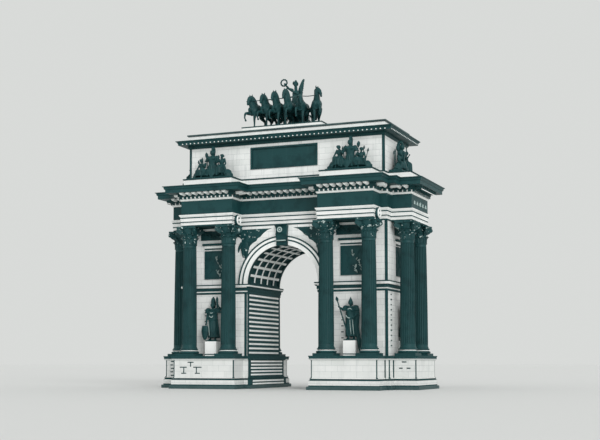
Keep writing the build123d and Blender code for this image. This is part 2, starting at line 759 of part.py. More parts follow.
def attic_roof():
    """Metal roof: a slab between the blocking courses, a coping over them and a low hip."""
    bed = slab(ATTIC_PLAN, ATTIC_CORNICE_TOP, BLOCKING_TOP, BLOCKING_OFFSET - BLOCKING_THICKNESS)
    section = [
        (COPING_OFFSET - 60, BLOCKING_TOP),
        (COPING_OFFSET - 40, BLOCKING_TOP + 50),
        (COPING_OFFSET, BLOCKING_TOP + 60),
        (COPING_OFFSET, ROOF_EDGE_TOP),
    ]
    foot = COPING_OFFSET - BLOCKING_THICKNESS
    low = Pos(0, 0, ROOF_EDGE_TOP) * Rectangle(ATTIC_WIDTH + 2 * foot, ATTIC_DEPTH + 2 * foot)
    ridge = Rectangle(ATTIC_WIDTH - 0.75 * ATTIC_DEPTH, ATTIC_DEPTH / 4)
    high = Pos(0, 0, ROOF_EDGE_TOP + ROOF_RISE) * ridge
    plinth_hole = slab([CHARIOT_PLINTH], BLOCKING_TOP, FAR)
    return bed + course(section, ATTIC_PLAN) + loft([low, high]) - plinth_hole


def chariot_plinth():
    """Low stone plinth let into the roof."""
    section = [
        (0, BLOCKING_TOP),
        (0, CHARIOT_FLOOR - 110),
        (50, CHARIOT_FLOOR - 70, -10),
        (50, CHARIOT_FLOOR),
    ]
    return course(section, [CHARIOT_PLINTH])


def corner_strips():
    """Iron angles that cover the outer corners of the pylons and the attic."""
    spans = [
        (BODY_HALF_X, HALF_DEPTH, PODIUM_TOP, IMPOST_BOTTOM),
        (BODY_HALF_X, HALF_DEPTH, IMPOST_TOP, COLUMN_TOP),
        (ATTIC_WIDTH / 2, ATTIC_DEPTH / 2, ATTIC_PLINTH_TOP, ATTIC_WALL_TOP),
    ]
    strips = []
    for x, y, low, high in spans:
        side = STRIP_WIDTH + STRIP_THICKNESS
        post = Pos(x + STRIP_THICKNESS - side / 2, y + STRIP_THICKNESS - side / 2, (low + high) / 2)
        angle = post * Box(side, side, high - low) - Pos(x - FAR / 2, y - FAR / 2, 0) * Box(FAR, FAR, 2 * FAR)
        strips += four_ways(angle)
    return strips


# ---- sculpture --------------------------------------------------------------------------------
def facetted(start, direction, rings):
    """A many-sided solid about an axis from start. Each ring is (radius, distance along the axis)."""
    frame = Plane(origin=start, z_dir=direction)
    angles = [math.tau * side / LIMB_SIDES for side in range(LIMB_SIDES)]
    corners = [
        [frame.from_local_coords((radius * math.cos(a), radius * math.sin(a), along)) for a in angles]
        for radius, along in rings
    ]
    faces = [Face(Wire.make_polygon(corners[0])), Face(Wire.make_polygon(corners[-1]))]
    for low, high in zip(corners, corners[1:]):
        for side in range(LIMB_SIDES):
            after = (side + 1) % LIMB_SIDES
            faces.append(Face(Wire.make_polygon([low[side], low[after], high[after], high[side]])))
    return Solid(Shell(faces))


def limb(start, end, start_radius, end_radius):
    """A tapering limb with rounded ends that reach a little past both joints."""
    axis = Vector(*end) - Vector(*start)
    rings = [
        (0.55 * start_radius, -0.55 * start_radius),
        (start_radius, 0),
        (end_radius, axis.length),
        (0.55 * end_radius, axis.length + 0.55 * end_radius),
    ]
    return facetted(start, axis, rings)


def chain(*joints):
    """Limbs from joint to joint. A joint is (x, y, z, radius)."""
    return [limb(near[:3], far[:3], near[3], far[3]) for near, far in zip(joints, joints[1:])]


def cone(centre, low_radius, high_radius, height):
    """An upright cone that stands on centre."""
    return facetted(centre, (0, 0, 1), [(low_radius, 0), (high_radius, height)])


def disc(centre, normal, radius, thickness):
    """A round shield with a raised middle that faces along normal."""
    rings = [
        (radius, 0),
        (radius, 0.4 * thickness),
        (0.55 * radius, 0.75 * thickness),
        (0.2 * radius, thickness),
    ]
    return facetted(centre, normal, rings)


def rod(start, end, radius):
    axis = Vector(*end) - Vector(*start)
    return facetted(start, axis, [(radius, 0), (radius, axis.length)])


def statue(pieces):
    return pieces[0].fuse(*pieces[1:])


def warrior():
    """Standing guard in a tunic, cloak and pointed helmet, with a spear and a grounded shield."""
    cloak = cone((0, 60, 300), 420, 330, 2350) - Pos(0, -800, 1500) * Box(2000, 1500, 4000)
    return statue(
        [
            Pos(0, 0, 45) * Box(900, 800, 90),
            *chain((-190, 10, 200, 118), (-172, 12, 1150, 170)),
            *chain((205, -55, 200, 118), (171, 7, 1150, 170)),
            *chain((-195, -60, 165, 95), (-226, -257, 130, 75)),
            *chain((210, -125, 165, 95), (246, -318, 130, 75)),
            cone((0, 5, 1005), 425, 300, 900),
            *chain((0, 8, 1850, 315), (3, 2, 2480, 360)),
            cloak,
            *chain((-360, 4, 2600, 150), (-560, -138, 2150, 120), (-522, -380, 2500, 88)),
            *chain((362, 3, 2600, 150), (521, -103, 2100, 120), (469, -331, 1800, 88)),
            *chain((1, -6, 2660, 150), (2, -4, 3130, 213)),
            cone((0, -2, 3205), 247, 32, 590),
            rod((-523, -381, 60), (-523, -381, 3795), 38),
            disc((420, -331, 1150), (0.15, -1, 0.1), 470, 120),
        ]
    )


def trophy_group():
    """Armour and helmet on a heap of shields, between two seated captives and two standards."""
    return statue(
        [
            Pos(0, 0, 90) * Box(4300, 1300, 180),
            cone((0, 40, 170), 640, 430, 1030),
            *chain((3, 41, 1180, 392), (-2, 38, 1900, 433)),
            *chain((1, 28, 2040, 150), (2, 17, 2355, 207)),
            cone((1, 16, 2430), 234, 52, 490),
            *chain((-853, -42, 620, 341), (-902, -18, 1402, 282)),
            *chain((-899, -31, 1520, 113), (-903, -58, 1812, 171)),
            *chain((-902, -203, 702, 211), (-1352, -402, 853, 142), (-1448, -418, 252, 111)),
            *chain((852, -43, 703, 343), (803, -17, 1648, 284)),
            *chain((798, -29, 1752, 114), (801, -57, 2052, 173)),
            *chain((903, -203, 803, 213), (1303, -403, 902, 143), (1402, -417, 253, 112)),
            disc((648, -402, 753), (0.25, -1, 0.2), 430, 150),
            disc((-452, -398, 602), (-0.2, -1, 0.3), 380, 140),
            rod((-1251, 151, 160), (-1602, 149, 2050), 45),
            rod((1152, 148, 160), (1553, 152, 2150), 46),
            *chain((-1902, 3, 322, 201), (-1352, 5, 503, 331)),
            *chain((1902, -3, 323, 203), (1353, -4, 522, 332)),
        ]
    )


def horse(turn):
    """Prancing horse that faces -Y, its head turned by some degrees, before it is scaled up."""
    head = chain((2, -1003, 1700, 288), (1, -1182, 2401, 198), (3, -1521, 2033, 118))
    head.append(rod((-2, -1128, 2450), (-3, -1119, 2740), 52))
    pivot = Pos(0, -950, 0)
    return statue(
        [
            *chain((1, -851, 1452, 362), (-1, 452, 1398, 371)),
            *chain((2, -803, 1483, 333), (1, -1010, 1690, 297)),
            *[pivot * Rot(0, 0, turn) * Pos(0, 950, 0) * piece for piece in head],
            *chain((-172, -903, 1252, 181), (-191, -1351, 1152, 122), (-188, -1299, 652, 77)),
            *chain((173, -853, 1248, 179), (182, -1002, 652, 104), (179, -899, 92, 84)),
            *chain((-203, 503, 1298, 251), (-211, 452, 702, 122), (-209, 622, 91, 86)),
            *chain((201, 497, 1302, 249), (212, 703, 752, 121), (208, 801, 93, 87)),
            *chain((4, 702, 1502, 112), (2, 1052, 848, 131)),
            Pos(0, -60, 35) * Box(740, 2100, 70),
        ]
    )


def horse_team():
    """Horses side by side that fan out from the chariot, each looking a little further outwards."""
    team = []
    for index in range(HORSES):
        along = index - (HORSES - 1) / 2
        turn = along * HORSE_FAN
        place = Pos(CHARIOT_X + along * HORSE_SPACING, HORSE_Y, CHARIOT_FLOOR)
        team.append(place * Rot(0, 0, turn) * scale(horse(turn / 2), HORSE_SCALE))
    return team


def chariot():
    """Two-wheeled car with a curved breast, open at the back."""
    breast = 1150
    low = CAR_FLOOR - 350
    shell = Pos(0, 0, low) * extrude(Circle(CAR_RADIUS), amount=350 + breast)
    hollow = Pos(0, 0, CAR_FLOOR) * extrude(Circle(CAR_RADIUS - 110), amount=FAR)
    back = Pos(0, CAR_RADIUS + 150, CAR_FLOOR + breast / 2) * Box(3 * CAR_RADIUS, 1.4 * CAR_RADIUS, breast)
    track = CAR_RADIUS + 230
    axle = rod((-track - 100, 100, WHEEL_RADIUS), (track + 100, 100, WHEEL_RADIUS), 70)
    pole = rod((3, -CAR_RADIUS + 60, 700), (2, -2450, 1250), 60)
    car = [shell - hollow - back, axle, pole]
    for side in (-1, 1):
        rim = Rot(0, 90, 0) * (Cylinder(WHEEL_RADIUS, 130) - Cylinder(WHEEL_RADIUS - 140, 200))
        hub = Rot(0, 90, 0) * Cylinder(150, 260)
        spokes = [Rot(45 * turn, 0, 0) * Cylinder(45, 2 * WHEEL_RADIUS - 200) for turn in range(4)]
        car.append(Pos(side * track, 100, WHEEL_RADIUS) * statue([rim, hub, *spokes]))
    return statue(car)


def victory():
    """Winged figure that holds a wreath out in her right hand."""
    ring = RegularPolygon(370, 2 * LIMB_SIDES) - RegularPolygon(240, 2 * LIMB_SIDES)
    wreath = Pos(-1130, -345, 3970) * extrude(Plane.XZ * ring, amount=60, both=True)
    wings = []
    for side in (-1, 1):
        outline = make_face(
            [
                Line((side * 60, 2450), (side * 260, 3350)),
                SagittaArc((side * 260, 3350), (side * 700, 4460), side * 120),
                SagittaArc((side * 700, 4460), (side * 760, 2700), -side * 160),
                Line((side * 760, 2700), (side * 60, 2450)),
            ]
        )
        blade = extrude(Plane.XZ * outline, amount=60, both=True)
        wings.append(Pos(0, 240, 0) * Rot(0, 0, side * WING_TURN) * blade)
    return statue(
        [
            cone((0, 0, 0), 440, 300, 2150),
            *chain((2, 3, 2150, 313), (1, 2, 3080, 357)),
            *chain((1, 4, 3230, 142), (-62, -18, 3840, 223)),
            cone((-61, -14, 3930), 121, 62, 320),
            *chain((-322, 2, 3170, 146), (-702, -221, 3462, 106), (-903, -331, 3752, 92)),
            *chain((321, 3, 3168, 147), (622, -258, 2702, 107), (601, -621, 2502, 91)),
            wreath,
            *wings,
        ]
    )


def relief_panel():
    """Framed iron relief with a shield over crossed spears, facing -Y, its back at y = 0."""
    thick = RELIEF_THICKNESS
    plate = Pos(0, -thick / 4, 0) * Box(RELIEF_WIDTH, thick / 2, RELIEF_HEIGHT)
    rim = Rectangle(RELIEF_WIDTH, RELIEF_HEIGHT) - Rectangle(RELIEF_WIDTH - 260, RELIEF_HEIGHT - 260)
    frame = extrude(Plane.XZ * rim, amount=thick)
    spears = []
    for side in (-1, 1):
        y = side * 7 - 70
        spears.append(rod((-side * 750, y, -950), (side * 750, y, 950), 45))
    shield = disc((0, -45, 0), (0, -1, 0), 520, 130)
    return statue([plate, frame, shield, *spears])


def garland_panel():
    """Iron plate with a raised border, between the capitals of a pair, facing -Y, its back at y = 0."""
    width, height = GARLAND_PANEL
    plate = Pos(0, -GARLAND_THICKNESS / 4, 0) * Box(width, GARLAND_THICKNESS / 2, height)
    rim = Rectangle(width, height) - Rectangle(width - 200, height - 200)
    return plate + extrude(Plane.XZ * rim, amount=GARLAND_THICKNESS)


def spandrel_relief():
    """Winged genius in low relief that fills the front right spandrel."""
    clear = VAULT_RADIUS + ARCHIVOLT_WIDTH + 90
    outer_x = FRONT_PAIR_X - COLUMN_GAP / 2 + 350
    top = COLUMN_TOP - 200
    sheet = make_face(
        [
            Line((900, top), (outer_x, top)),
            Line((outer_x, top), (outer_x, IMPOST_TOP + 2300)),
            Line((outer_x, IMPOST_TOP + 2300), (900, top)),
        ]
    )
    sheet -= Pos(0, IMPOST_TOP) * Circle(clear)
    solid = Pos(0, -HALF_DEPTH, 0) * extrude(Plane.XZ * sheet, amount=SPANDREL_RELIEF_THICKNESS)
    return solid.solids().sort_by(SortBy.VOLUME)[-1]


# ---- assembly ---------------------------------------------------------------------------------
def at_all(solid, places, height=0):
    """Copies of a solid at plan points."""
    return [Pos(x, y, height) * solid for x, y in places]


def round_the_pylons(solid, front_y, end_x, height):
    """Copies of a -Y facing solid in the middle of each front, back and end bay."""
    placed = [Pos(side * FRONT_PAIR_X, -front_y, height) * solid for side in (-1, 1)]
    placed += [Pos(side * FRONT_PAIR_X, front_y, height) * Rot(0, 0, 180) * solid for side in (-1, 1)]
    placed += [Pos(side * end_x, 0, height) * Rot(0, 0, side * 90) * solid for side in (-1, 1)]
    return placed


def write(name, *solids):
    export_step(Compound(children=list(solids)), f"parts/{name}.step")


def left_and_right(name, solid):
    write(f"right_{name}", solid)
    write(f"left_{name}", mirror(solid, about=Plane.YZ))


def build():
    os.makedirs("parts", exist_ok=True)
    left_and_right("base_step", base_step())
    left_and_right("podium", podium())
    left_and_right("pylon_wall", pylon_wall())
    left_and_right("impost_band", impost_band())
    left_and_right("upper_wall", upper_wall())
    write("spandrel_wall", spandrel_wall())
    write("coffered_vault", coffered_vault())
    write("archivolts", *front_and_back(archivolt()))
    write("keystones", *front_and_back(keystone()))

    places = column_places()
    pieces = {
        "column_bases": (column_base(), PODIUM_TOP),
        "column_shafts": (column_shaft(), PODIUM_TOP),
        "column_capitals": (corinthian_capital(), COLUMN_TOP - CAPITAL_HEIGHT),
    }
    for name, (solid, height) in pieces.items():
        write(f"front_{name}", *at_all(solid, places["front"], height))
        write(f"back_{name}", *at_all(solid, places["back"], height))
        write(f"end_{name}", *at_all(solid, places["left"] + places["right"], height))

    write("architrave", architrave())
    write("entablature_core", entablature_core())
    write("frieze", frieze())
    write("dentil_course", dentil_course())
    write("modillion_course", modillion_course())
    write("cornice_crown", cornice_crown())

    write("attic_plinth", attic_plinth())
    front_wall = attic_long_wall()
    write("attic_front_wall", front_wall)
    write("attic_back_wall", mirror(front_wall, about=Plane.XZ))
    write("attic_end_walls", *both_ends(attic_end_wall()))
    write("inscription_panels", *front_and_back(inscription_panel()))
    write("attic_cornice", attic_cornice())
    write("blocking_course", blocking_course())
    write("attic_roof", attic_roof())
    write("chariot_plinth", chariot_plinth())
    write("corner_strips", *corner_strips())

    width, depth, height = WARRIOR_PEDESTAL
    pedestal = Pos(0, -depth / 2, height / 2) * Box(width, depth, height)
    write("warrior_pedestals", *round_the_pylons(pedestal, HALF_DEPTH, BODY_HALF_X, PODIUM_TOP))
    guard = Pos(0, -depth / 2, height) * warrior()
    write("warriors", *round_the_pylons(guard, HALF_DEPTH, BODY_HALF_X, PODIUM_TOP))
    panel_middle = RELIEF_BOTTOM + RELIEF_HEIGHT / 2
    reliefs = round_the_pylons(relief_panel(), HALF_DEPTH, BODY_HALF_X, panel_middle)
    garland_middle = COLUMN_TOP - GARLAND_PANEL[1] / 2
    reliefs += round_the_pylons(garland_panel(), HALF_DEPTH, BODY_HALF_X, garland_middle)
    write("relief_panels", *reliefs)
    group_y = ATTIC_DEPTH / 2 + TROPHY_CLEARANCE
    group_x = ATTIC_WIDTH / 2 + TROPHY_CLEARANCE
    write("trophy_groups", *round_the_pylons(trophy_group(), group_y, group_x, ATTIC_PLINTH_TOP))
    write("spandrel_reliefs", *four_ways(spandrel_relief()))

    write("horses", *horse_team())
    car = Pos(CHARIOT_X, CHARIOT_Y, CHARIOT_FLOOR)
    write("chariot", car * chariot())
    write("victory", car * Pos(VICTORY_X, 0, CAR_FLOOR) * victory())


build()
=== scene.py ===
import math

import bmesh
import bpy
from mathutils import Euler, Matrix, Vector


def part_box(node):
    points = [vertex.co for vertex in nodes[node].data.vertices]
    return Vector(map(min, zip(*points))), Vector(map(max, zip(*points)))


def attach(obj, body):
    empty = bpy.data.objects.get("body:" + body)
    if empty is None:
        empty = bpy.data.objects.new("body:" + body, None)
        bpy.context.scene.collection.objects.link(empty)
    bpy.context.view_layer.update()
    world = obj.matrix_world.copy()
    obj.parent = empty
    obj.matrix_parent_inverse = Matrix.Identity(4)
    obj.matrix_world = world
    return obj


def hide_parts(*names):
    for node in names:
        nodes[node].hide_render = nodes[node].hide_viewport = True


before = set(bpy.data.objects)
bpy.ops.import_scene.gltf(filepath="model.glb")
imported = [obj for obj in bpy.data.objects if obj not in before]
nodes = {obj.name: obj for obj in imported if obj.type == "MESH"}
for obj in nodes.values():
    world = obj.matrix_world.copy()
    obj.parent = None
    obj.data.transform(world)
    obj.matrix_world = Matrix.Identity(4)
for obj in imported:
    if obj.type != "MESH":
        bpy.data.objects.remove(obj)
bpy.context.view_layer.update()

print("frame loaded:", len(nodes), "CAD nodes")


def smoothPath(points, steps):
    # points are (x, y, z, radius), and the curve goes through each of them
    spots = [Vector(point) for point in points]
    spots = [2 * spots[0] - spots[1]] + spots + [2 * spots[-1] - spots[-2]]
    path = []
    for a, b, c, d in zip(spots, spots[1:], spots[2:], spots[3:]):
        for step in range(steps):
            t = step / steps
            path.append(0.5 * (
                2 * b + (c - a) * t + (2 * a - 5 * b + 4 * c - d) * t**2 + (3 * b - a - 3 * c + d) * t**3
            ))
    return path + [spots[-2]]


def around(steps, closed=True):
    # cosine and sine of evenly spaced angles, once round
    angles = [math.tau * step / steps for step in range(steps + closed)]
    return [(math.cos(angle), math.sin(angle)) for angle in angles]


def skinRings(bm, rings, closed=False):
    # faces between neighbouring rings, and between the last and the first where closed
    for low, high in zip(rings, rings[1:] + (rings[:1] if closed else [])):
        for corner in range(len(low)):
            after = (corner + 1) % len(low)
            bm.faces.new((low[corner], low[after], high[after], high[corner]))


def addTube(bm, points, sides=10, steps=4, wide=None, factor=1.0):
    # wide is the direction in which the section is stretched by factor
    path = smoothPath(points, steps)
    spots = [point.xyz for point in path]
    stretch = Vector(wide).normalized() if wide else None
    normal = None
    rings = []
    for index, spot in enumerate(spots):
        tangent = (spots[min(index + 1, len(spots) - 1)] - spots[max(index - 1, 0)]).normalized()
        normal = tangent.orthogonal() if normal is None else normal - tangent * normal.dot(tangent)
        normal.normalize()
        side = tangent.cross(normal)
        ring = []
        for a, b in around(sides, closed=False):
            offset = max(path[index].w, 0.001) * (a * normal + b * side)
            if stretch:
                offset += (factor - 1) * offset.dot(stretch) * stretch
            ring.append(bm.verts.new(spot + offset))
        rings.append(ring)
    skinRings(bm, rings)
    for ring, spot, beyond, radius in (
        (rings[0], spots[0], spots[1], path[0].w), (rings[-1], spots[-1], spots[-2], path[-1].w),
    ):
        tip = bm.verts.new(spot + (spot - beyond).normalized() * radius * 0.6)
        for corner in range(sides):
            pair = (ring[corner], ring[(corner + 1) % sides])
            bm.faces.new((*(pair if ring is rings[-1] else reversed(pair)), tip))


def addBall(bm, centre, sizes, turn=(0, 0, 0), levels=3):
    sizes = (sizes,) * 3 if isinstance(sizes, (int, float)) else sizes
    place = Matrix.LocRotScale(Vector(centre), Euler([math.radians(a) for a in turn]), Vector(sizes))
    bmesh.ops.create_icosphere(bm, subdivisions=levels, radius=1, matrix=place)


def addLoops(bm, loops):
    # closed skin over rings of equal length, capped at both ends
    rings = [[bm.verts.new(point) for point in loop] for loop in loops]
    skinRings(bm, rings)
    bm.faces.new(list(reversed(rings[0])))
    bm.faces.new(rings[-1])


def addSkirt(bm, levels, folds=14, sides=70):
    # levels are (x, y, z, half width, half depth, fold depth)
    loops = []
    for x, y, z, wide, deep, fold in levels:
        loop = []
        for corner in range(sides):
            angle = math.tau * corner / sides
            swell = 1 + fold * math.cos(folds * angle + 0.7 * math.sin(2 * angle))
            loop.append(Vector((x + wide * swell * math.cos(angle), y + deep * swell * math.sin(angle), z)))
        loops.append(loop)
    addLoops(bm, loops)


def addLathe(bm, centre, axis, profile, sides=28):
    # profile is (radius, distance along the axis) from one end to the other
    turn = Vector((0, 0, 1)).rotation_difference(Vector(axis)).to_matrix()
    loops = []
    for radius, along in profile:
        reach = max(radius, 0.002)
        ring = [(reach * a, reach * b, along) for a, b in around(sides, closed=False)]
        loops.append([Vector(centre) + turn @ Vector(spot) for spot in ring])
    addLoops(bm, loops)


def addSheet(bm, rows, thickness):
    # a cloth or plate over a grid of points, thickened to the back
    grids = []
    for shift in (0, 1):
        grids.append([
            [bm.verts.new(Vector(point) + shift * Vector(thickness)) for point in row] for row in rows
        ])
    front, back = grids
    high, wide = len(rows), len(rows[0])
    for grid, flip in ((front, False), (back, True)):
        for i in range(high - 1):
            for j in range(wide - 1):
                quad = (grid[i][j], grid[i + 1][j], grid[i + 1][j + 1], grid[i][j + 1])
                bm.faces.new(reversed(quad) if flip else quad)
    rim = [(0, j) for j in range(wide)] + [(i, wide - 1) for i in range(1, high)]
    rim += [(high - 1, j) for j in range(wide - 2, -1, -1)] + [(i, 0) for i in range(high - 2, 0, -1)]
    for (i, j), (k, m) in zip(rim, rim[1:] + rim[:1]):
        bm.faces.new((front[i][j], front[k][m], back[k][m], back[i][j]))


def addBox(bm, centre, size, turn=(0, 0, 0)):
    place = Matrix.LocRotScale(Vector(centre), Euler([math.radians(a) for a in turn]), Vector(size))
    bmesh.ops.create_cube(bm, size=1, matrix=place)


def newObject(name, data):
    item = bpy.data.objects.new(name, data)
    bpy.context.scene.collection.objects.link(item)
    return item


def shapedMesh(item, name):
    # the mesh that an object's modifiers make
    shaped = bpy.data.meshes.new_from_object(item.evaluated_get(bpy.context.evaluated_depsgraph_get()))
    shaped.name = name
    return shaped


def finishWith(mesh, material):
    mesh.materials.clear()
    mesh.materials.append(material)


def asMesh(name, bm, recalc=True):
    if recalc:
        bmesh.ops.recalc_face_normals(bm, faces=bm.faces)
    mesh = bpy.data.meshes.new(name)
    bm.to_mesh(mesh)
    bm.free()
    return mesh


def makeMesh(name, fill, *details):
    bm = bmesh.new()
    fill(bm, *details)
    return asMesh(name, bm)


def castMesh(name, fill, details=(), voxel=0.03, smooth=5, keep=0.5):
    # what fill adds is run together into one skin, as in a casting
    piece = newObject(name, makeMesh(name, fill, *details))
    remesh = piece.modifiers.new("remesh", "REMESH")
    remesh.mode = "VOXEL"
    remesh.voxel_size = voxel
    relax = piece.modifiers.new("relax", "SMOOTH")
    relax.factor = 0.5
    relax.iterations = smooth
    thin = piece.modifiers.new("thin", "DECIMATE")
    thin.ratio = keep
    shaped = shapedMesh(piece, name)
    bpy.data.objects.remove(piece)
    return shaped


def gatherMesh(name, parts):
    # parts are (mesh, matrix); a mirrored part has its faces turned round again
    bm = bmesh.new()
    for mesh, place in parts:
        verts, faces = len(bm.verts), len(bm.faces)
        bm.from_mesh(mesh)
        bm.verts.ensure_lookup_table()
        bm.faces.ensure_lookup_table()
        bmesh.ops.transform(bm, matrix=place, verts=bm.verts[verts:])
        if place.determinant() < 0:
            bmesh.ops.reverse_faces(bm, faces=bm.faces[faces:])
    return asMesh(name, bm, recalc=False)


def addPiece(name, mesh, material, stands=(), smooth=True):
    piece = newObject(name, mesh)
    finishWith(mesh, material)
    mesh.polygons.foreach_set("use_smooth", [smooth] * len(mesh.polygons))
    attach(piece, "root")
    if stands:
        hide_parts(*stands)
    print(name, len(mesh.polygons), "faces")


def turnedAt(place, degrees=0, size=1.0, mirrored=False):
    scale = Matrix.Diagonal((-size if mirrored else size, size, size, 1))
    return Matrix.Translation(place) @ Matrix.Rotation(math.radians(degrees), 4, "Z") @ scale


def addLimb(bm, k, joints, **section):
    # joints are (place, radius as a share of the figure's height k)
    addTube(bm, [(*place, radius * k) for place, radius in joints], **section)


def addBody(bm, k, pelvis, chest, head, arms, legs, look=(0, -1, 0)):
    # k is the height of the whole figure; every joint is given in metres
    pelvis, chest, head, look = Vector(pelvis), Vector(chest), Vector(head), Vector(look).normalized()
    across = (Vector(arms[1][0]) - Vector(arms[0][0])).normalized()
    rise = (chest - pelvis).normalized()
    addLimb(bm, k, [
        (pelvis - 0.04 * k * rise, 0.062), (pelvis + 0.02 * k * rise, 0.064),
        (pelvis.lerp(chest, 0.45), 0.054), (pelvis.lerp(chest, 0.85), 0.07),
        (chest + 0.05 * k * rise, 0.058),
    ], sides=14, wide=across, factor=1.42)
    top = (head - chest).normalized()
    addLimb(bm, k, [(chest + 0.05 * k * rise, 0.036), (head - 0.045 * k * top, 0.03)])
    side = look.cross(top).normalized()
    basis = Matrix((side, -look, top)).transposed()
    tilt = [math.degrees(a) for a in basis.to_euler()]
    addBall(bm, head, (0.047 * k, 0.058 * k, 0.064 * k), tilt)
    addBall(bm, head + 0.02 * k * look - 0.034 * k * top, (0.034 * k, 0.038 * k, 0.038 * k), tilt)
    nose = head + 0.055 * k * look
    nostrils = nose + 0.006 * k * look - 0.014 * k * top
    addLimb(bm, k, [(nose + 0.014 * k * top, 0.006), (nostrils, 0.009)], sides=6)
    for way in (-1, 1):
        brow = head + 0.05 * k * look + way * 0.02 * k * side + 0.016 * k * top
        addBall(bm, brow, (0.018 * k, 0.01 * k, 0.007 * k), tilt, 2)
    addBall(bm, head + 0.052 * k * look - 0.034 * k * top, (0.015 * k, 0.008 * k, 0.005 * k), tilt, 2)
    for shoulder, elbow, wrist in arms:
        shoulder, elbow, wrist = Vector(shoulder), Vector(elbow), Vector(wrist)
        addBall(bm, shoulder, 0.043 * k)
        addLimb(bm, k, [
            (shoulder, 0.036), (shoulder.lerp(elbow, 0.45), 0.036), (elbow, 0.026),
            (elbow.lerp(wrist, 0.3), 0.029), (wrist, 0.018),
        ])
        grip = wrist + (wrist - elbow).normalized() * 0.035 * k
        addBall(bm, grip, 0.028 * k)
    for hip, knee, ankle, toe in legs:
        hip, knee, ankle, toe = Vector(hip), Vector(knee), Vector(ankle), Vector(toe)
        addLimb(bm, k, [
            (hip, 0.06), (hip.lerp(knee, 0.4), 0.056), (knee, 0.037), (knee.lerp(ankle, 0.35), 0.04),
            (ankle, 0.022),
        ], sides=12)
        addLimb(bm, k, [(ankle, 0.024), (ankle.lerp(toe, 0.5), 0.026), (toe, 0.018)])


def addHelmet(bm, k, head, crest=True, pointed=True):
    x, y, z = head
    peak = 0.15 if pointed else 0.085
    profile = [
        (0.062, -0.03), (0.066, 0.0), (0.06, 0.03), (0.046, 0.058), (0.024, peak * 0.7), (0.006, peak),
        (0.0, peak + 0.01),
    ]
    addLathe(bm, (x, y, z), (0, 0, 1), [(r * k, h * k) for r, h in profile])
    addTube(bm, [
        (x, y + 0.05 * k, z, 0.034 * k), (x, y + 0.075 * k, z - 0.06 * k, 0.03 * k),
    ], wide=(1, 0, 0), factor=1.5)
    if crest:
        plume = [(0, -0.02, 0.075), (0, 0.02, 0.125), (0, 0.075, 0.105), (0, 0.105, 0.03), (0, 0.11, -0.05)]
        widths = [0.022, 0.036, 0.042, 0.036, 0.016]
        addTube(bm, [
            (x + a * k, y + b * k, z + c * k, w * k) for (a, b, c), w in zip(plume, widths)
        ], sides=12)


def addHair(bm, k, head, knot=True):
    x, y, z = head
    addBall(bm, (x, y + 0.012 * k, z + 0.012 * k), (0.055 * k, 0.058 * k, 0.06 * k))
    for way in (-1, 1):
        addTube(bm, [
            (x + way * 0.03 * k, y - 0.03 * k, z + 0.055 * k, 0.018 * k),
            (x + way * 0.056 * k, y, z + 0.01 * k, 0.02 * k),
            (x + way * 0.03 * k, y + 0.06 * k, z - 0.02 * k, 0.02 * k),
        ])
    if knot:
        addBall(bm, (x, y + 0.02 * k, z + 0.078 * k), (0.024 * k, 0.026 * k, 0.026 * k))


def newMaterial(name):
    material = bpy.data.materials.new(name)
    material.use_nodes = True
    tree = material.node_tree
    tree.nodes.clear()
    output = tree.nodes.new("ShaderNodeOutputMaterial")
    shader = tree.nodes.new("ShaderNodeBsdfPrincipled")
    tree.links.new(shader.outputs[0], output.inputs[0])
    return material, tree, shader


def feed(tree, node, inputs):
    # sockets are linked, and plain values are set
    for key, value in inputs.items():
        if isinstance(value, bpy.types.NodeSocket):
            tree.links.new(value, node.inputs[key])
        else:
            node.inputs[key].default_value = value


def addNode(tree, kind, settings=None, inputs=None):
    node = tree.nodes.new(kind)
    for key, value in (settings or {}).items():
        setattr(node, key, value)
    feed(tree, node, inputs or {})
    return node


def objectCoords(tree, scale=(1, 1, 1), turn=(0, 0, 0)):
    coords = addNode(tree, "ShaderNodeTexCoord")
    return addNode(tree, "ShaderNodeMapping", inputs={
        "Vector": coords.outputs["Object"], "Scale": scale, "Rotation": turn,
    }).outputs[0]


def noiseOn(tree, vector, scale, detail=4.0, roughness=0.55):
    node = addNode(tree, "ShaderNodeTexNoise", inputs={
        "Vector": vector, "Scale": scale, "Detail": detail, "Roughness": roughness,
    })
    return node.outputs[0]


def rampOn(tree, value, stops):
    node = addNode(tree, "ShaderNodeValToRGB", inputs={0: value})
    elements = node.color_ramp.elements
    while len(elements) < len(stops):
        elements.new(0.5)
    for element, (place, shade) in zip(elements, stops):
        element.position = place
        element.color = (*shade, 1) if len(shade) == 3 else shade
    return node.outputs[0]


def greyRamp(tree, value, low, high):
    return rampOn(tree, value, [(low, (0, 0, 0)), (high, (1, 1, 1))])


def mixColours(tree, share, first, second, blend="MIX"):
    node = addNode(tree, "ShaderNodeMix", {"data_type": "RGBA", "blend_type": blend})
    for index, value in ((0, share), (6, first), (7, second)):
        if isinstance(value, bpy.types.NodeSocket):
            tree.links.new(value, node.inputs[index])
        elif isinstance(value, (int, float)):
            node.inputs[index].default_value = value
        else:
            node.inputs[index].default_value = (*value, 1)
    return node.outputs[2]


def mathOn(tree, operation, first, second=0.0):
    return addNode(tree, "ShaderNodeMath", {"operation": operation}, {0: first, 1: second}).outputs[0]


def stain(tree, share, amount, colour, other):
    # another colour as strongly as the share times the amount
    return mixColours(tree, mathOn(tree, "MULTIPLY", share, amount), colour, other)


def bandsOn(tree, value, bands):
    # one wherever value lies in any of the bands, each given by its two ends
    total = None
    for low, high in bands:
        band = addNode(
            tree, "ShaderNodeMath", {"operation": "COMPARE"},
            {0: value, 1: (low + high) / 2, 2: (high - low) / 2},
        ).outputs[0]
        total = mathOn(tree, "MAXIMUM", total, band) if total else band
    return total


def recolour(tree, shader, share, colour):
    # another colour over a share of what the shader already has
    base = shader.inputs["Base Color"]
    tree.links.new(mixColours(tree, share, base.links[0].from_socket, colour), base)


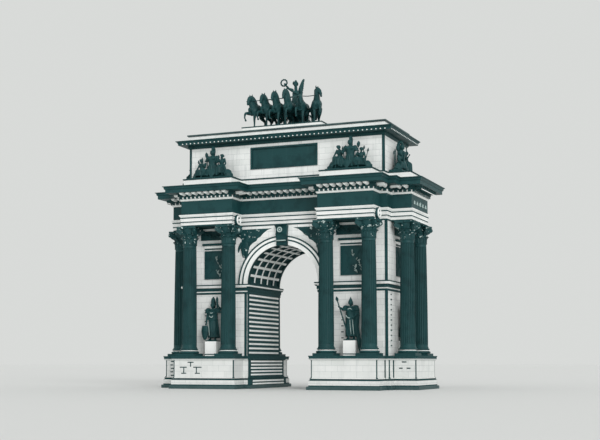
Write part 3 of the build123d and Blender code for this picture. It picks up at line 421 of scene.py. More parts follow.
# dark iron paint laid over stone as painted shade; the noise named worn only varies the tone of this
# painted shade
def paintShadeOver(tree, shader, share):
    worn = noiseOn(tree, objectCoords(tree), 7.0, 5, 0.65)
    paint = rampOn(tree, worn, [(0.3, ironLook["deep"]), (0.55, ironLook["mid"]), (0.75, ironLook["worn"])])
    recolour(tree, shader, share, paint)


def bumpFrom(tree, height, strength, distance, under=None):
    inputs = {"Height": height, "Strength": strength, "Distance": distance}
    if under:
        inputs["Normal"] = under
    return addNode(tree, "ShaderNodeBump", inputs=inputs).outputs[0]


limestoneLook = {
    "light": (0.925, 0.94, 0.92),
    "mid": (0.875, 0.895, 0.875),
    "dark": (0.79, 0.81, 0.79),
    "soot": (0.36, 0.41, 0.405),
    "courseHeight": 0.535,
    "blockLength": 1.15,
    "jointWidth": 0.018,
}


def openJoints(tree, plain, colour, height):
    # courses of blocks in two tones, with dark joints that are cut in
    look = limestoneLook
    split = addNode(tree, "ShaderNodeSeparateXYZ", inputs={0: plain})
    along = mathOn(tree, "ADD", split.outputs[0], split.outputs[1])
    flat = addNode(tree, "ShaderNodeCombineXYZ", inputs={0: along, 1: split.outputs[2]})
    bricks = addNode(tree, "ShaderNodeTexBrick", {"offset": 0.5}, {
        "Vector": flat.outputs[0], "Color1": (1, 1, 1, 1), "Color2": (0.84, 0.86, 0.85, 1),
        "Mortar": (0, 0, 0, 1), "Scale": 1.0, "Mortar Size": look["jointWidth"] / 2,
        "Mortar Smooth": 0.2, "Bias": -0.2, "Brick Width": look["blockLength"],
        "Row Height": look["courseHeight"],
    })
    blockTone = mixColours(tree, bricks.outputs["Fac"], bricks.outputs["Color"], (1, 1, 1))
    colour = mixColours(tree, 0.55, colour, blockTone, "MULTIPLY")
    colour = stain(tree, bricks.outputs["Fac"], 0.75, colour, look["soot"])
    height = mathOn(tree, "SUBTRACT", height, bricks.outputs["Fac"])
    return colour, height


def limestone(name, joints=True, tint=1.0):
    look = limestoneLook
    material, tree, shader = newMaterial(name)
    plain = objectCoords(tree)
    broad = noiseOn(tree, plain, 0.45, 5, 0.6)
    grain = noiseOn(tree, plain, 9.0, 6, 0.65)
    shades = [(0.3, look["dark"]), (0.48, look["mid"]), (0.62, look["light"])]
    colour = rampOn(tree, broad, [(place, tuple(c * tint for c in shade)) for place, shade in shades])
    speckle = rampOn(tree, grain, [(0.3, look["dark"]), (0.7, look["light"])])
    colour = mixColours(tree, 0.16, colour, speckle)
    # rain marks that run down the faces
    runs = noiseOn(tree, objectCoords(tree, (1.9, 1.9, 0.16)), 1.0, 4, 0.6)
    colour = stain(tree, greyRamp(tree, runs, 0.56, 0.78), 0.34, colour, look["soot"])
    height = mathOn(tree, "MULTIPLY", grain, 0.25)
    if joints:
        colour, height = openJoints(tree, plain, colour, height)
    feed(tree, shader, {
        "Base Color": colour, "Normal": bumpFrom(tree, height, 0.55, 0.02), "Specular IOR Level": 0.3,
        "Roughness": rampOn(tree, grain, [(0.2, (0.72,) * 3), (0.8, (0.92,) * 3)]),
    })
    return material


def opened(material):
    # a material that is already made, with its tree and its shader
    tree = material.node_tree
    return material, tree, next(node for node in tree.nodes if node.type == "BSDF_PRINCIPLED")


def axesOn(tree):
    return addNode(tree, "ShaderNodeSeparateXYZ", inputs={0: objectCoords(tree)}).outputs


def shadeLinedStone(name, shadeLines, joints=False, tint=1.04):
    # stone with dark lines painted in the iron's colours at the heights given: painted shade under and
    # along the mouldings
    material, tree, shader = opened(limestone(name, joints, tint))
    if shadeLines:
        paintShadeOver(tree, shader, bandsOn(tree, axesOn(tree)[2], shadeLines))
    return material


def passageShadedStone(name, shadeLines, side, strip=None, corners=(), top=100.0, tint=1.0):
    # stone with painted shade lines, painted dark towards the passage as painted shade, with a strip of
    # painted shade beside it and dark lines at the corners
    material, tree, shader = opened(shadeLinedStone(name, shadeLines, True, tint))
    place = axesOn(tree)
    x, y = (mathOn(tree, "ABSOLUTE", place[i]) for i in (0, 1))
    share = mathOn(
        tree, "MULTIPLY", mathOn(tree, "LESS_THAN", x, side), mathOn(tree, "LESS_THAN", place[2], top),
    )
    if strip:
        beside = mathOn(
            tree, "MULTIPLY", mathOn(tree, "GREATER_THAN", y, wall[1] - 0.02), bandsOn(tree, x, [strip]),
        )
        share = mathOn(tree, "MAXIMUM", share, beside)
    for corner in corners:
        near = [bandsOn(tree, axis, [(at - 0.09, at + 0.09)]) for axis, at in zip((x, y), corner)]
        share = mathOn(tree, "MAXIMUM", share, mathOn(tree, "MULTIPLY", *near))
    paintShadeOver(tree, shader, share)
    return material


def hoodedStone(name, shadeLines):
    # stone with dark lines of painted shade only on what stands proud of the walls: the hoods' mouldings
    material, tree, shader = opened(limestone(name))
    place = axesOn(tree)
    proud = [
        mathOn(tree, "GREATER_THAN", mathOn(tree, "ABSOLUTE", place[i]), wall[i] + 0.03) for i in (0, 1)
    ]
    share = mathOn(tree, "MULTIPLY", mathOn(tree, "MAXIMUM", *proud), bandsOn(tree, place[2], shadeLines))
    paintShadeOver(tree, shader, share)
    return material


def archStone(name, springing, rings, edge=None, above=0.0):
    # dark rings of painted shade that follow the arch; edge also paints the ends of the vault's soffit, and
    # its foot up to above over the springing, dark as painted shade
    material, tree, shader = opened(limestone(name, False, 1.04))
    place = axesOn(tree)
    rise = mathOn(tree, "SUBTRACT", place[2], springing)
    flat = addNode(tree, "ShaderNodeCombineXYZ", inputs={0: place[0], 1: rise})
    radius = addNode(
        tree, "ShaderNodeVectorMath", {"operation": "LENGTH"}, {0: flat.outputs[0]},
    ).outputs["Value"]
    share = bandsOn(tree, radius, rings)
    if edge:
        atEnds = mathOn(tree, "GREATER_THAN", mathOn(tree, "ABSOLUTE", place[1]), edge)
        share = mathOn(tree, "MAXIMUM", share, atEnds)
        share = mathOn(tree, "MAXIMUM", share, mathOn(tree, "LESS_THAN", rise, above))
    paintShadeOver(tree, shader, share)
    return material


def graniteStone():
    material, tree, shader = newMaterial("graniteStone")
    plain = objectCoords(tree)
    fleck = noiseOn(tree, plain, 38.0, 3, 0.7)
    broad = noiseOn(tree, plain, 1.1, 4, 0.6)
    colour = rampOn(tree, fleck, [
        (0.34, (0.012, 0.044, 0.047)), (0.5, (0.03, 0.076, 0.078)), (0.68, (0.095, 0.16, 0.155)),
    ])
    colour = mixColours(tree, greyRamp(tree, broad, 0.35, 0.7), colour, (0.018, 0.056, 0.058))
    feed(tree, shader, {
        "Base Color": colour, "Roughness": 0.62,
        "Normal": bumpFrom(tree, noiseOn(tree, plain, 14.0, 5, 0.7), 0.5, 0.02),
    })
    return material


ironLook = {
    "deep": (0.006, 0.038, 0.041),
    "mid": (0.012, 0.060, 0.063),
    "worn": (0.028, 0.095, 0.096),
    "bloom": (0.075, 0.16, 0.152),
}


def paintedIron(name, worn=0.35, bloom=0.12, tint=1.0):
    look = {key: tuple(c * tint for c in shade) for key, shade in ironLook.items()}
    material, tree, shader = newMaterial(name)
    plain = objectCoords(tree)
    broad = noiseOn(tree, plain, 0.8, 5, 0.6)
    fine = noiseOn(tree, plain, 11.0, 5, 0.65)
    colour = rampOn(tree, broad, [(0.32, look["deep"]), (0.5, look["mid"]), (0.7, look["mid"])])
    colour = stain(tree, greyRamp(tree, fine, 0.52, 0.74), worn, colour, look["worn"])
    runs = noiseOn(tree, objectCoords(tree, (3.2, 3.2, 0.3)), 1.0, 4, 0.6)
    colour = stain(tree, greyRamp(tree, runs, 0.58, 0.8), bloom, colour, look["bloom"])
    feed(tree, shader, {
        "Base Color": colour, "Normal": bumpFrom(tree, fine, 0.35, 0.012), "Specular IOR Level": 0.2,
        "Roughness": rampOn(tree, fine, [(0.25, (0.36,) * 3), (0.75, (0.6,) * 3)]),
    })
    return material


def fleckedIron(name, share, tone):
    # paint worn through to a pale undercoat in flecks; on the capitals and the spandrel figures these pale
    # flecks are painted highlights
    material, tree, shader = opened(paintedIron(name))
    fleck = noiseOn(tree, objectCoords(tree), 3.4, 2, 0.5)
    worn = greyRamp(tree, fleck, 0.69 - 0.5 * share, 0.71 - 0.5 * share)
    recolour(tree, shader, worn, tone)
    return material


def highlightBandIron(name, band):
    # iron paint with a pale band between two heights: a painted highlight
    material, tree, shader = opened(paintedIron(name))
    recolour(tree, shader, bandsOn(tree, axesOn(tree)[2], [band]), limestoneLook["mid"])
    return material


def roofMetal():
    material, tree, shader = newMaterial("roofMetal")
    plain = objectCoords(tree)
    broad = noiseOn(tree, plain, 0.9, 4, 0.6)
    colour = rampOn(tree, broad, [
        (0.3, (0.03, 0.06, 0.063)), (0.5, (0.055, 0.1, 0.104)), (0.7, (0.09, 0.15, 0.15)),
    ])
    feed(tree, shader, {
        "Base Color": colour, "Roughness": 0.5, "Metallic": 0.3,
        "Normal": bumpFrom(tree, noiseOn(tree, plain, 5.0, 3), 0.3, 0.01),
    })
    return material


# heights and faces of the CAD nodes that the paint and the pieces are set out from
podiumFoot, floorTop = (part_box("left_podium")[i][2] for i in (0, 1))
impost = [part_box("left_impost_band")[i][2] for i in (0, 1)]
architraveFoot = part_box("architrave")[0][2]
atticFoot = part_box("attic_plinth")[1][2]
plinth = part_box("chariot_plinth")
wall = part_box("right_pylon_wall")[1]  # outer x and y, and the top
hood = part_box("right_upper_wall")[0][2] + 3.31  # foot of the hoods over the reliefs
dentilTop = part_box("dentil_course")[1][2]
pairCentre = 6.8  # middle of a pair of columns, along the front
quarters = ((-1, -1), (1, -1), (1, 1), (-1, 1))  # signs of x and y, counter-clockwise
# dark lines on the corners of the podiums, in one quarter of the plan
podiumCorners = [
    (3.2, 4.1), (3.75, 6.25), (9.85, 6.25), (9.85, 4.1), (10.3, 4.1), (10.3, 3.05), (12.4, 3.05),
]


def bandsAt(level, *bands):
    return [(level + low, level + high) for low, high in bands]

stoneBlocks = limestone("stoneBlocks")
stoneMoulding = limestone("stoneMoulding", joints=False, tint=1.04)
# the faces towards the passage are painted dark as painted shade
jambStone = passageShadedStone("jambStone", [], 3.53, strip=(3.56, 3.83))
# the bands are dark lines of painted shade under and along the mouldings
podiumShadeLines = bandsAt(podiumFoot, (-0.1, 0.1)) + [(0.8, 0.97)] + bandsAt(floorTop, (-0.27, 0.1))
podiumStone = passageShadedStone("podiumStone", podiumShadeLines, 3.24, corners=podiumCorners, tint=0.8)
impostShadeLines = bandsAt(impost[0], (-0.1, 0.18), (0.28, 0.58)) + bandsAt(impost[1], (-0.11, 0.1))
impostStone = passageShadedStone("impostStone", impostShadeLines, 3.49, top=impost[1] - 0.24)
dentilStone = shadeLinedStone("dentilStone", bandsAt(dentilTop, (-0.06, 0.1)))
fasciaShadeLines = bandsAt(architraveFoot, (-0.1, 0.12), (0.36, 0.47), (0.75, 0.87))
architraveStone = shadeLinedStone("architraveStone", fasciaShadeLines, tint=0.95)
atticFootStone = shadeLinedStone("atticFootStone", bandsAt(atticFoot, (-0.13, 0.1)))
pedestalStone = shadeLinedStone("pedestalStone", bandsAt(floorTop, (0.1, 0.2)))
plinthShadeLines = bandsAt(plinth[0][2], (0.1, 0.24)) + bandsAt(plinth[1][2], (-0.1, 0.1))
plinthStone = shadeLinedStone("plinthStone", plinthShadeLines)
upperStone = hoodedStone("upperStone", bandsAt(hood, (0, 0.13), (0.36, 0.6)))
# the archivolt rings and the vault's dark ends and foot are painted shade
archivoltStone = archStone("archivoltStone", impost[1], [(3.88, 4.03), (4.23, 4.36)])
vaultStone = archStone("vaultStone", impost[1], [(3.53, 3.9)], wall[1] - 0.45, 0.2)
granite = graniteStone()
iron = paintedIron("paintedIron")
castFigure = paintedIron("castFigure", worn=0.5, bloom=0.22, tint=0.95)
garlandIron = paintedIron("garlandIron", worn=0.95, bloom=0.7)
paleIron = fleckedIron("paleIron", 0.84, (0.40, 0.51, 0.49))
# pale flecks of painted highlight on the capitals and the spandrel figures
capitalHighlightIron = fleckedIron("capitalHighlightIron", 0.09, (0.50, 0.60, 0.58))
# pale bands of painted highlight on the panels' tops and on the column bases
panelHighlightIron = highlightBandIron("panelHighlightIron", (14.72, 14.93))
baseHighlightIron = highlightBandIron("baseHighlightIron", (3.455, 3.52))
roofSheet = roofMetal()

nodeFinish = {
    jambStone: ["left_pylon_wall", "right_pylon_wall"],
    stoneBlocks: ["spandrel_wall", "attic_front_wall", "attic_back_wall", "attic_end_walls"],
    stoneMoulding: ["entablature_core", "blocking_course"],
    dentilStone: ["dentil_course"],
    podiumStone: ["left_podium", "right_podium"],
    impostStone: ["left_impost_band", "right_impost_band"],
    upperStone: ["left_upper_wall", "right_upper_wall"],
    architraveStone: ["architrave"],
    atticFootStone: ["attic_plinth"],
    pedestalStone: ["warrior_pedestals"],
    plinthStone: ["chariot_plinth"],
    archivoltStone: ["archivolts"],
    vaultStone: ["coffered_vault"],
    granite: ["left_base_step", "right_base_step"],
    iron: [
        "keystones", "front_column_shafts", "back_column_shafts", "end_column_shafts", "frieze",
        "cornice_crown", "inscription_panels", "attic_cornice", "corner_strips", "modillion_course",
        "spandrel_reliefs",
    ],
    capitalHighlightIron: ["front_column_capitals", "back_column_capitals", "end_column_capitals"],
    baseHighlightIron: ["front_column_bases", "back_column_bases", "end_column_bases"],
    panelHighlightIron: ["relief_panels"],
    castFigure: ["warriors", "trophy_groups", "horses", "chariot", "victory"],
    roofSheet: ["attic_roof"],
}
for material, names in nodeFinish.items():
    for name in names:
        finishWith(nodes[name].data, material)
print("materials made and put on the CAD nodes")

horseLook = {
    "voxel": 0.034, "keep": 0.5, "size": 1.2, "y": -1.35,
    # place along x, turn, raised foreleg, turn of the neck, turn of the head, stride, lift of the head
    "team": [
        (-3.36, -24, -1, 7, 10, 0.1, -0.22), (-2.22, -16, -1, 6, 8, -0.08, -0.17),
        (-1.16, -9, -1, 0, 6, 0.06, -0.04),
        (-0.1, -3, 1, -10, 12, 0.1, 0.06), (1.0, 9, -1, 8, 10, -0.06, -0.5),
        (2.4, 24, 1, -2, 42, 0.08, -0.02),
    ],
}


def rotated(x, y, degrees):
    angle = math.radians(degrees)
    return x * math.cos(angle) - y * math.sin(angle), x * math.sin(angle) + y * math.cos(angle)


def addHorseLegs(bm, raised, stride):
    # the hind legs stand apart by the stride
    for way in (-1, 1):
        if way == raised:
            leg = [
                (0.2, -0.72, 1.5, 0.22), (0.2, -0.9, 1.28, 0.16), (0.2, -1.36, 1.22, 0.105),
                (0.2, -1.46, 0.9, 0.066), (0.2, -1.42, 0.76, 0.072),
            ]
            hoof = (0.2, -1.36, 0.66)
        else:
            leg = [
                (0.2, -0.72, 1.5, 0.22), (0.2, -0.74, 1.18, 0.15), (0.19, -0.78, 0.78, 0.098),
                (0.19, -0.77, 0.32, 0.064), (0.19, -0.8, 0.2, 0.074),
            ]
            hoof = (0.19, -0.85, 0.1)
        addTube(bm, [(way * x, y, z, r) for x, y, z, r in leg])
        addTube(bm, [
            (way * hoof[0], hoof[1] + 0.02, hoof[2] + 0.05, 0.075),
            (way * hoof[0], hoof[1], hoof[2] - 0.05, 0.092),
        ])
        back = stride * way
        leg = [
            (0.24, 0.68, 1.5, 0.28), (0.26, 0.46 + back, 1.16, 0.2), (0.24, 0.86 + back, 0.8, 0.105),
            (0.24, 0.78 + 1.3 * back, 0.34, 0.068), (0.24, 0.74 + 1.3 * back, 0.2, 0.074),
        ]
        addTube(bm, [(way * x, y, z, r) for x, y, z, r in leg])
        addTube(bm, [
            (way * 0.24, 0.7 + 1.3 * back, 0.14, 0.075), (way * 0.24, 0.66 + 1.3 * back, 0.05, 0.094),
        ])


def addHarness(bm):
    # collar, girth and traces
    collar = [(0.37 * b, -0.74 - 0.2 * a, 1.58 - 0.42 * a, 0.045) for a, b in around(16)]
    girth = [(0.39 * b, -0.22, 1.56 + 0.44 * a, 0.038) for a, b in around(16)]
    for strap in (collar, girth):
        addTube(bm, strap, sides=8, steps=2)
    for way in (-1, 1):
        addTube(bm, [
            (way * 0.34, -0.75, 1.55, 0.032), (way * 0.39, -0.1, 1.5, 0.032), (way * 0.41, 0.6, 1.5, 0.032),
            (way * 0.37, 1.0, 1.4, 0.03),
        ], sides=8)


def fillHorse(bm, raised, neckTurn, headTurn, stride, lift):
    def swing(spot, share=1.0, head=False):  # turns the neck about the withers and the head about the poll
        x, y, z = spot[:3]
        if head:
            x, y = rotated(x, y + 1.0, headTurn)
            y -= 1.0
        x, y = rotated(x, y + 0.7, neckTurn * share)
        return (x, y - 0.7, z + lift * share, *spot[3:])

    addTube(bm, [
        (0, 1.02, 1.66, 0.2), (0, 0.8, 1.68, 0.4), (0, 0.35, 1.6, 0.41), (0, -0.15, 1.55, 0.42),
        (0, -0.6, 1.62, 0.43), (0, -0.9, 1.64, 0.3),
    ], sides=16, wide=(1, 0, 0), factor=0.9)
    for way in (-1, 1):
        addBall(bm, (way * 0.17, 0.72, 1.6), (0.25, 0.43, 0.42))
        addBall(bm, (way * 0.15, -0.74, 1.5), (0.21, 0.31, 0.41))
        addBall(bm, (way * 0.14, -0.98, 1.56), (0.15, 0.14, 0.2))
    neck = [
        ((0, -0.58, 1.76, 0.43), 0), ((0, -0.82, 2.08, 0.37), 0.35), ((0, -0.95, 2.38, 0.29), 0.7),
        ((0, -0.99, 2.6, 0.22), 1),
    ]
    addTube(bm, [swing(p, t) for p, t in neck], sides=14, wide=(1, 0, 0), factor=0.66)
    head = [
        (0, -0.98, 2.64, 0.19), (0, -1.19, 2.6, 0.2), (0, -1.4, 2.36, 0.145), (0, -1.47, 2.15, 0.112),
        (0, -1.48, 2.04, 0.102),
    ]
    addTube(bm, [swing(p, head=True) for p in head], sides=12, wide=(1, 0, 0), factor=0.76)
    for way in (-1, 1):
        addBall(bm, swing((way * 0.08, -1.13, 2.5), head=True), (0.07, 0.15, 0.15))
        addBall(bm, swing((way * 0.12, -1.27, 2.58), head=True), 0.036, levels=2)
        addBall(bm, swing((way * 0.055, -1.53, 2.06), head=True), 0.034, levels=2)
        ear = (
            (way * 0.08, -1.0, 2.76, 0.06), (way * 0.11, -1.0, 2.88, 0.046),
            (way * 0.11, -1.03, 2.98, 0.018),
        )
        addTube(bm, [swing(p, head=True) for p in ear])
    mane = [
        (0, -0.36, 1.98, 0.1), (0, -0.46, 2.26, 0.14), (0, -0.6, 2.54, 0.14), (0, -0.8, 2.77, 0.11),
        (0, -1.08, 2.8, 0.07),
    ]
    addTube(bm, [swing(p, t) for p, t in zip(mane, (0, 0.3, 0.7, 1, 1))], wide=(1, 0, 0), factor=0.7)
    for lock in range(8):
        t = lock / 7
        for way in (-1, 1):
            root = swing((0, -0.38 - 0.5 * t, 2.02 + 0.74 * t), t)
            addTube(bm, [
                (*root, 0.07), (root[0] + way * 0.16, root[1] - 0.02, root[2] - 0.1, 0.055),
                (root[0] + way * 0.2, root[1] - 0.06, root[2] - 0.28, 0.02),
            ])
    tail = [
        (0, 0.98, 1.86, 0.08), (0.02, 1.2, 1.84, 0.11), (0.05, 1.36, 1.5, 0.15), (0.03, 1.32, 1.05, 0.13),
        (0, 1.24, 0.7, 0.03),
    ]
    addTube(bm, tail)
    for lock in (-1, 1):
        addTube(bm, [(x + lock * 0.08, y + 0.03, z, r * 0.6) for x, y, z, r in tail[1:]])
    addHorseLegs(bm, raised, stride)
    addHarness(bm)
    for low, reach in ((2.24, 0.135), (2.44, 0.17)):
        strap = [
            (0.76 * reach * b, -1.36 - 0.5 * (2.44 - low) - 0.05 * a, low + reach * a, 0.024)
            for a, b in around(12)
        ]
        addTube(bm, [swing(spot, head=True) for spot in strap], sides=6, steps=1)


def horseTeam():
    look = horseLook
    stand = plinth[1][2]
    plate = makeMesh("plate", lambda bm: addBox(bm, (0, -0.06, 0.03), (0.74, 2.1, 0.06)))
    parts = []
    for x, turn, raised, neckTurn, headTurn, stride, lift in look["team"]:
        mesh = castMesh(
            "horse", fillHorse, (raised, neckTurn, headTurn, stride, lift), look["voxel"], 4, look["keep"],
        )
        place = turnedAt((x, look["y"], stand), turn, look["size"])
        parts += [(mesh, place), (plate, place)]
    addPiece("horseTeam", gatherMesh("horseTeam", parts), castFigure, ["horses"])


chariotLook = {
    "x": -0.3, "y": 1.0, "radius": 0.85, "floor": 0.95, "breast": 1.15, "track": 1.08, "wheel": 0.85,
    "spokes": 8, "rider": -0.28,
}


def fillCar(bm):
    look = chariotLook
    radius, floor = look["radius"], look["floor"]
    rows = []
    for level in range(9):
        t = level / 8
        row = []
        for step in range(25):
            angle = math.radians(-205 + 230 * step / 24)
            reach = radius * (0.86 + 0.16 * t**2)
            top = look["breast"] * (0.45 + 0.55 * math.sin(math.pi * step / 24) ** 1.5)
            row.append((reach * math.cos(angle), reach * math.sin(angle), floor + t * top))
        rows.append(row)
    inner = [[(x * 0.9, y * 0.9, z) for x, y, z in row] for row in rows]
    addLoops(bm, [row + list(reversed(back)) for row, back in zip(rows, inner)])
    for row, thick in ((rows[-1], 0.055), (rows[0], 0.045)):
        addTube(bm, [(*point, thick) for point in row], sides=8, steps=1)
    addLathe(bm, (0, 0, floor - 0.16), (0, 0, 1), [
        (radius * 0.7, 0), (radius * 0.9, 0.06), (radius * 0.9, 0.16),
    ])
    addTube(bm, [
        (-look["track"] - 0.12, 0.1, look["wheel"], 0.07), (look["track"] + 0.12, 0.1, look["wheel"], 0.07),
    ], steps=1)
    addTube(bm, [(0, -0.5, 0.85, 0.07), (0, -1.2, 0.8, 0.06), (0, -2.4, 1.3, 0.055)])
    for place in range(9):  # garland on the breast
        angle = math.radians(-165 + 150 * place / 8)
        dip = 0.18 * abs(math.sin(place * math.pi / 2.67))
        spot = (0.93 * radius * math.cos(angle), 0.93 * radius * math.sin(angle), floor + 0.72 - dip)
        addBall(bm, spot, (0.09, 0.09, 0.08))


def fillWheels(bm):
    look = chariotLook
    rim = look["wheel"]
    for side in (-1, 1):
        centre = (side * look["track"], 0.1, rim)
        hoop = [(*(Vector(centre) + (rim - 0.07) * Vector((0, a, b))), 0.07) for a, b in around(36)]
        addTube(bm, hoop, sides=8, steps=1)
        addLathe(bm, (centre[0] - 0.12, 0.1, rim), (1, 0, 0), [
            (0.08, 0), (0.15, 0.05), (0.17, 0.12), (0.15, 0.19), (0.08, 0.24),
        ], 20)
        for spoke in range(look["spokes"]):
            angle = math.tau * spoke / look["spokes"]
            ray = Vector((0, math.cos(angle), math.sin(angle)))
            ends = [Vector(centre) + reach * ray for reach in (0.12, 0.45 * rim, rim - 0.08)]
            addTube(bm, [(*end, r) for end, r in zip(ends, (0.055, 0.035, 0.05))], sides=8, steps=2)


def addWing(bm, root, tip, lean, feathers=10, width=0.34):
    # overlapping feathers that fan backwards from the wing's leading edge
    root, tip, lean = Vector(root), Vector(tip), Vector(lean)
    rise = tip - root
    addTube(bm, [
        (*root, 0.12), (*(root + 0.35 * rise - 0.12 * lean), 0.12),
        (*(root + 0.8 * rise - 0.08 * lean), 0.085), (*tip, 0.05),
    ])
    for feather in range(feathers):
        t = feather / (feathers - 1)
        start = root + (0.1 + 0.72 * t) * rise
        end = root + (-0.25 + 1.25 * t) * rise + (0.9 - 0.62 * t) * lean
        middle = start.lerp(end, 0.5) + 0.06 * rise
        addTube(
            bm, [(*start, 0.085), (*middle, 0.09), (*end, 0.04)], sides=8, wide=(rise.cross(lean)),
            factor=width,
        )


def fillVictory(bm):
    k = 4.0
    head = (-0.06, -0.1, 3.84)
    arms = [
        ((-0.44, -0.02, 3.28), (-0.72, -0.2, 3.42), (-0.96, -0.34, 3.74)),
        ((0.42, -0.02, 3.25), (0.66, -0.28, 2.74), (0.5, -0.72, 2.5)),
    ]
    legs = [
        ((-0.17, 0, 2.0), (-0.18, -0.14, 1.15), (-0.2, 0.02, 0.16), (-0.24, -0.26, 0.07)),
        ((0.17, 0, 2.0), (0.2, -0.34, 1.17), (0.2, -0.1, 0.16), (0.24, -0.38, 0.07)),
    ]
    addBody(bm, k, (0, 0, 2.15), (-0.02, -0.02, 2.96), head, arms, legs)
    addHair(bm, k, head)
    addBall(bm, (-0.06, 0.0, 4.16), 0.1)
    addTube(bm, [(-0.05, 0.0, 3.3, 0.17), (-0.06, -0.02, 3.7, 0.14)])
    gown = [
        (0, 0, 2.7, 0.36, 0.28, 0.03), (0, 0, 2.45, 0.31, 0.26, 0.05), (0, 0, 2.15, 0.42, 0.35, 0.06),
        (0, -0.02, 1.4, 0.46, 0.42, 0.09), (0, 0, 0.6, 0.5, 0.48, 0.12),
        (0.02, 0.04, 0.02, 0.56, 0.56, 0.13),
    ]
    addSkirt(bm, gown, folds=13)
    addSkirt(bm, [
        (0, 0, 2.74, 0.39, 0.3, 0.05), (0, 0, 2.34, 0.41, 0.34, 0.09), (0, 0, 1.9, 0.52, 0.46, 0.13),
    ], folds=11)
    addTube(bm, [(-0.4, -0.2, 3.16, 0.08), (0.05, -0.33, 2.9, 0.08), (0.42, -0.1, 2.74, 0.08)])
    addWing(bm, (-0.14, 0.26, 3.0), (-0.5, 0.86, 3.98), (-0.1, 0.5, -0.3))
    addWing(bm, (0.16, 0.26, 3.0), (0.42, 0.84, 4.5), (0.3, 0.42, -0.3))


def fillWreath(bm):
    centre = Vector((-1.13, -0.4, 3.98))
    for leaf in range(20):
        angle = math.tau * leaf / 20
        ray = Vector((math.cos(angle), 0, math.sin(angle)))
        along = Vector((-math.sin(angle), 0, math.cos(angle)))
        tilt = -math.degrees(angle) + (25 if leaf % 2 else -25)
        addBall(bm, centre + 0.31 * ray + 0.02 * along, (0.075, 0.055, 0.12), (0, tilt, 0), 2)
    hoop = [(*(centre + 0.31 * Vector((a, 0, b))), 0.06) for a, b in around(24)]
    addTube(bm, hoop, sides=8, steps=1)


def fillReins(bm):
    # thin straps from the rider's hand to the horses' bits, in the car's own place
    hand = Vector((chariotLook["rider"] + 0.5, -0.74, chariotLook["floor"] + 2.5))
    for x, turn, *_ in horseLook["team"]:
        reach = 1.45 * horseLook["size"]
        angle = math.radians(turn)
        end = Vector((
            x - chariotLook["x"] + reach * math.sin(angle),
            horseLook["y"] - chariotLook["y"] - reach * math.cos(angle), 2.55,
        ))
        middle = hand.lerp(end, 0.5) - Vector((0, 0, 0.08))
        addTube(bm, [(*hand, 0.04), (*middle, 0.04), (*end, 0.04)], sides=6)


def chariotGroup():
    look = chariotLook
    stand = plinth[1][2]
    place = Matrix.Translation((look["x"], look["y"], stand))
    ride = place @ Matrix.Translation((look["rider"], 0, look["floor"]))
    car = [
        (castMesh("car", fillCar, (), 0.035, 3, 0.6), place), (makeMesh("wheels", fillWheels), place),
        (makeMesh("reins", fillReins), place),
    ]
    addPiece("chariotCar", gatherMesh("chariotCar", car), castFigure, ["chariot"])
    figure = castMesh("rider", fillVictory, (), 0.028, 4, 0.5)
    rider = [(figure, ride), (makeMesh("wreath", fillWreath), ride)]
    addPiece("wingedRider", gatherMesh("wingedRider", rider), castFigure, ["victory"])


def solidBoxes(node):
    # lowest and highest corners of each separate solid of a CAD node
    bm = bmesh.new()
    bm.from_mesh(nodes[node].data)
    bmesh.ops.transform(bm, matrix=nodes[node].matrix_world, verts=bm.verts)
    bmesh.ops.remove_doubles(bm, verts=bm.verts, dist=0.001)
    unseen, boxes = set(bm.verts), []
    for start in bm.verts:
        if start not in unseen:
            continue
        unseen.discard(start)
        solid, k = [start], 0
        while k < len(solid):
            for edge in solid[k].link_edges:
                other = edge.other_vert(solid[k])
                if other in unseen:
                    unseen.discard(other)
                    solid.append(other)
            k += 1
        boxes.append((
            Vector([min(v.co[i] for v in solid) for i in range(3)]),
            Vector([max(v.co[i] for v in solid) for i in range(3)]),
        ))
    bm.free()
    return boxes


def outwardTurn(x, y):
    # degrees that turn a piece made to face -Y so that it faces away from the nearest wall
    wallX, wallY = wall[:2]
    if abs(x) - wallX > abs(y) - wallY:
        return 90 if x > 0 else -90
    return 0 if y < 0 else 180


def addCloak(bm, shoulder, foot, wide, folds=7, back=0.1, low=0.06):
    rows = []
    for level in range(13):
        t = level / 12
        row = []
        for step in range(33):
            u = step / 16 - 1
            angle = u * math.radians(112 - 30 * t)
            reach = wide * (0.62 + 0.38 * t**0.7) * (1 + 0.1 * t * math.cos(folds * u * math.pi))
            row.append((
                reach * math.sin(angle), back + 0.75 * reach * math.cos(angle) - 0.3 * wide * (1 - t),
                shoulder + (foot - shoulder) * t + low * abs(u) * (1 - t),
            ))
        rows.append(row)
    outer = [[Vector(point) for point in row] for row in rows]
    inner = [[Vector((x * 0.86, back + (y - back) * 0.86, z)) for x, y, z in row] for row in rows]
    addLoops(bm, [a + list(reversed(b)) for a, b in zip(outer, inner)])


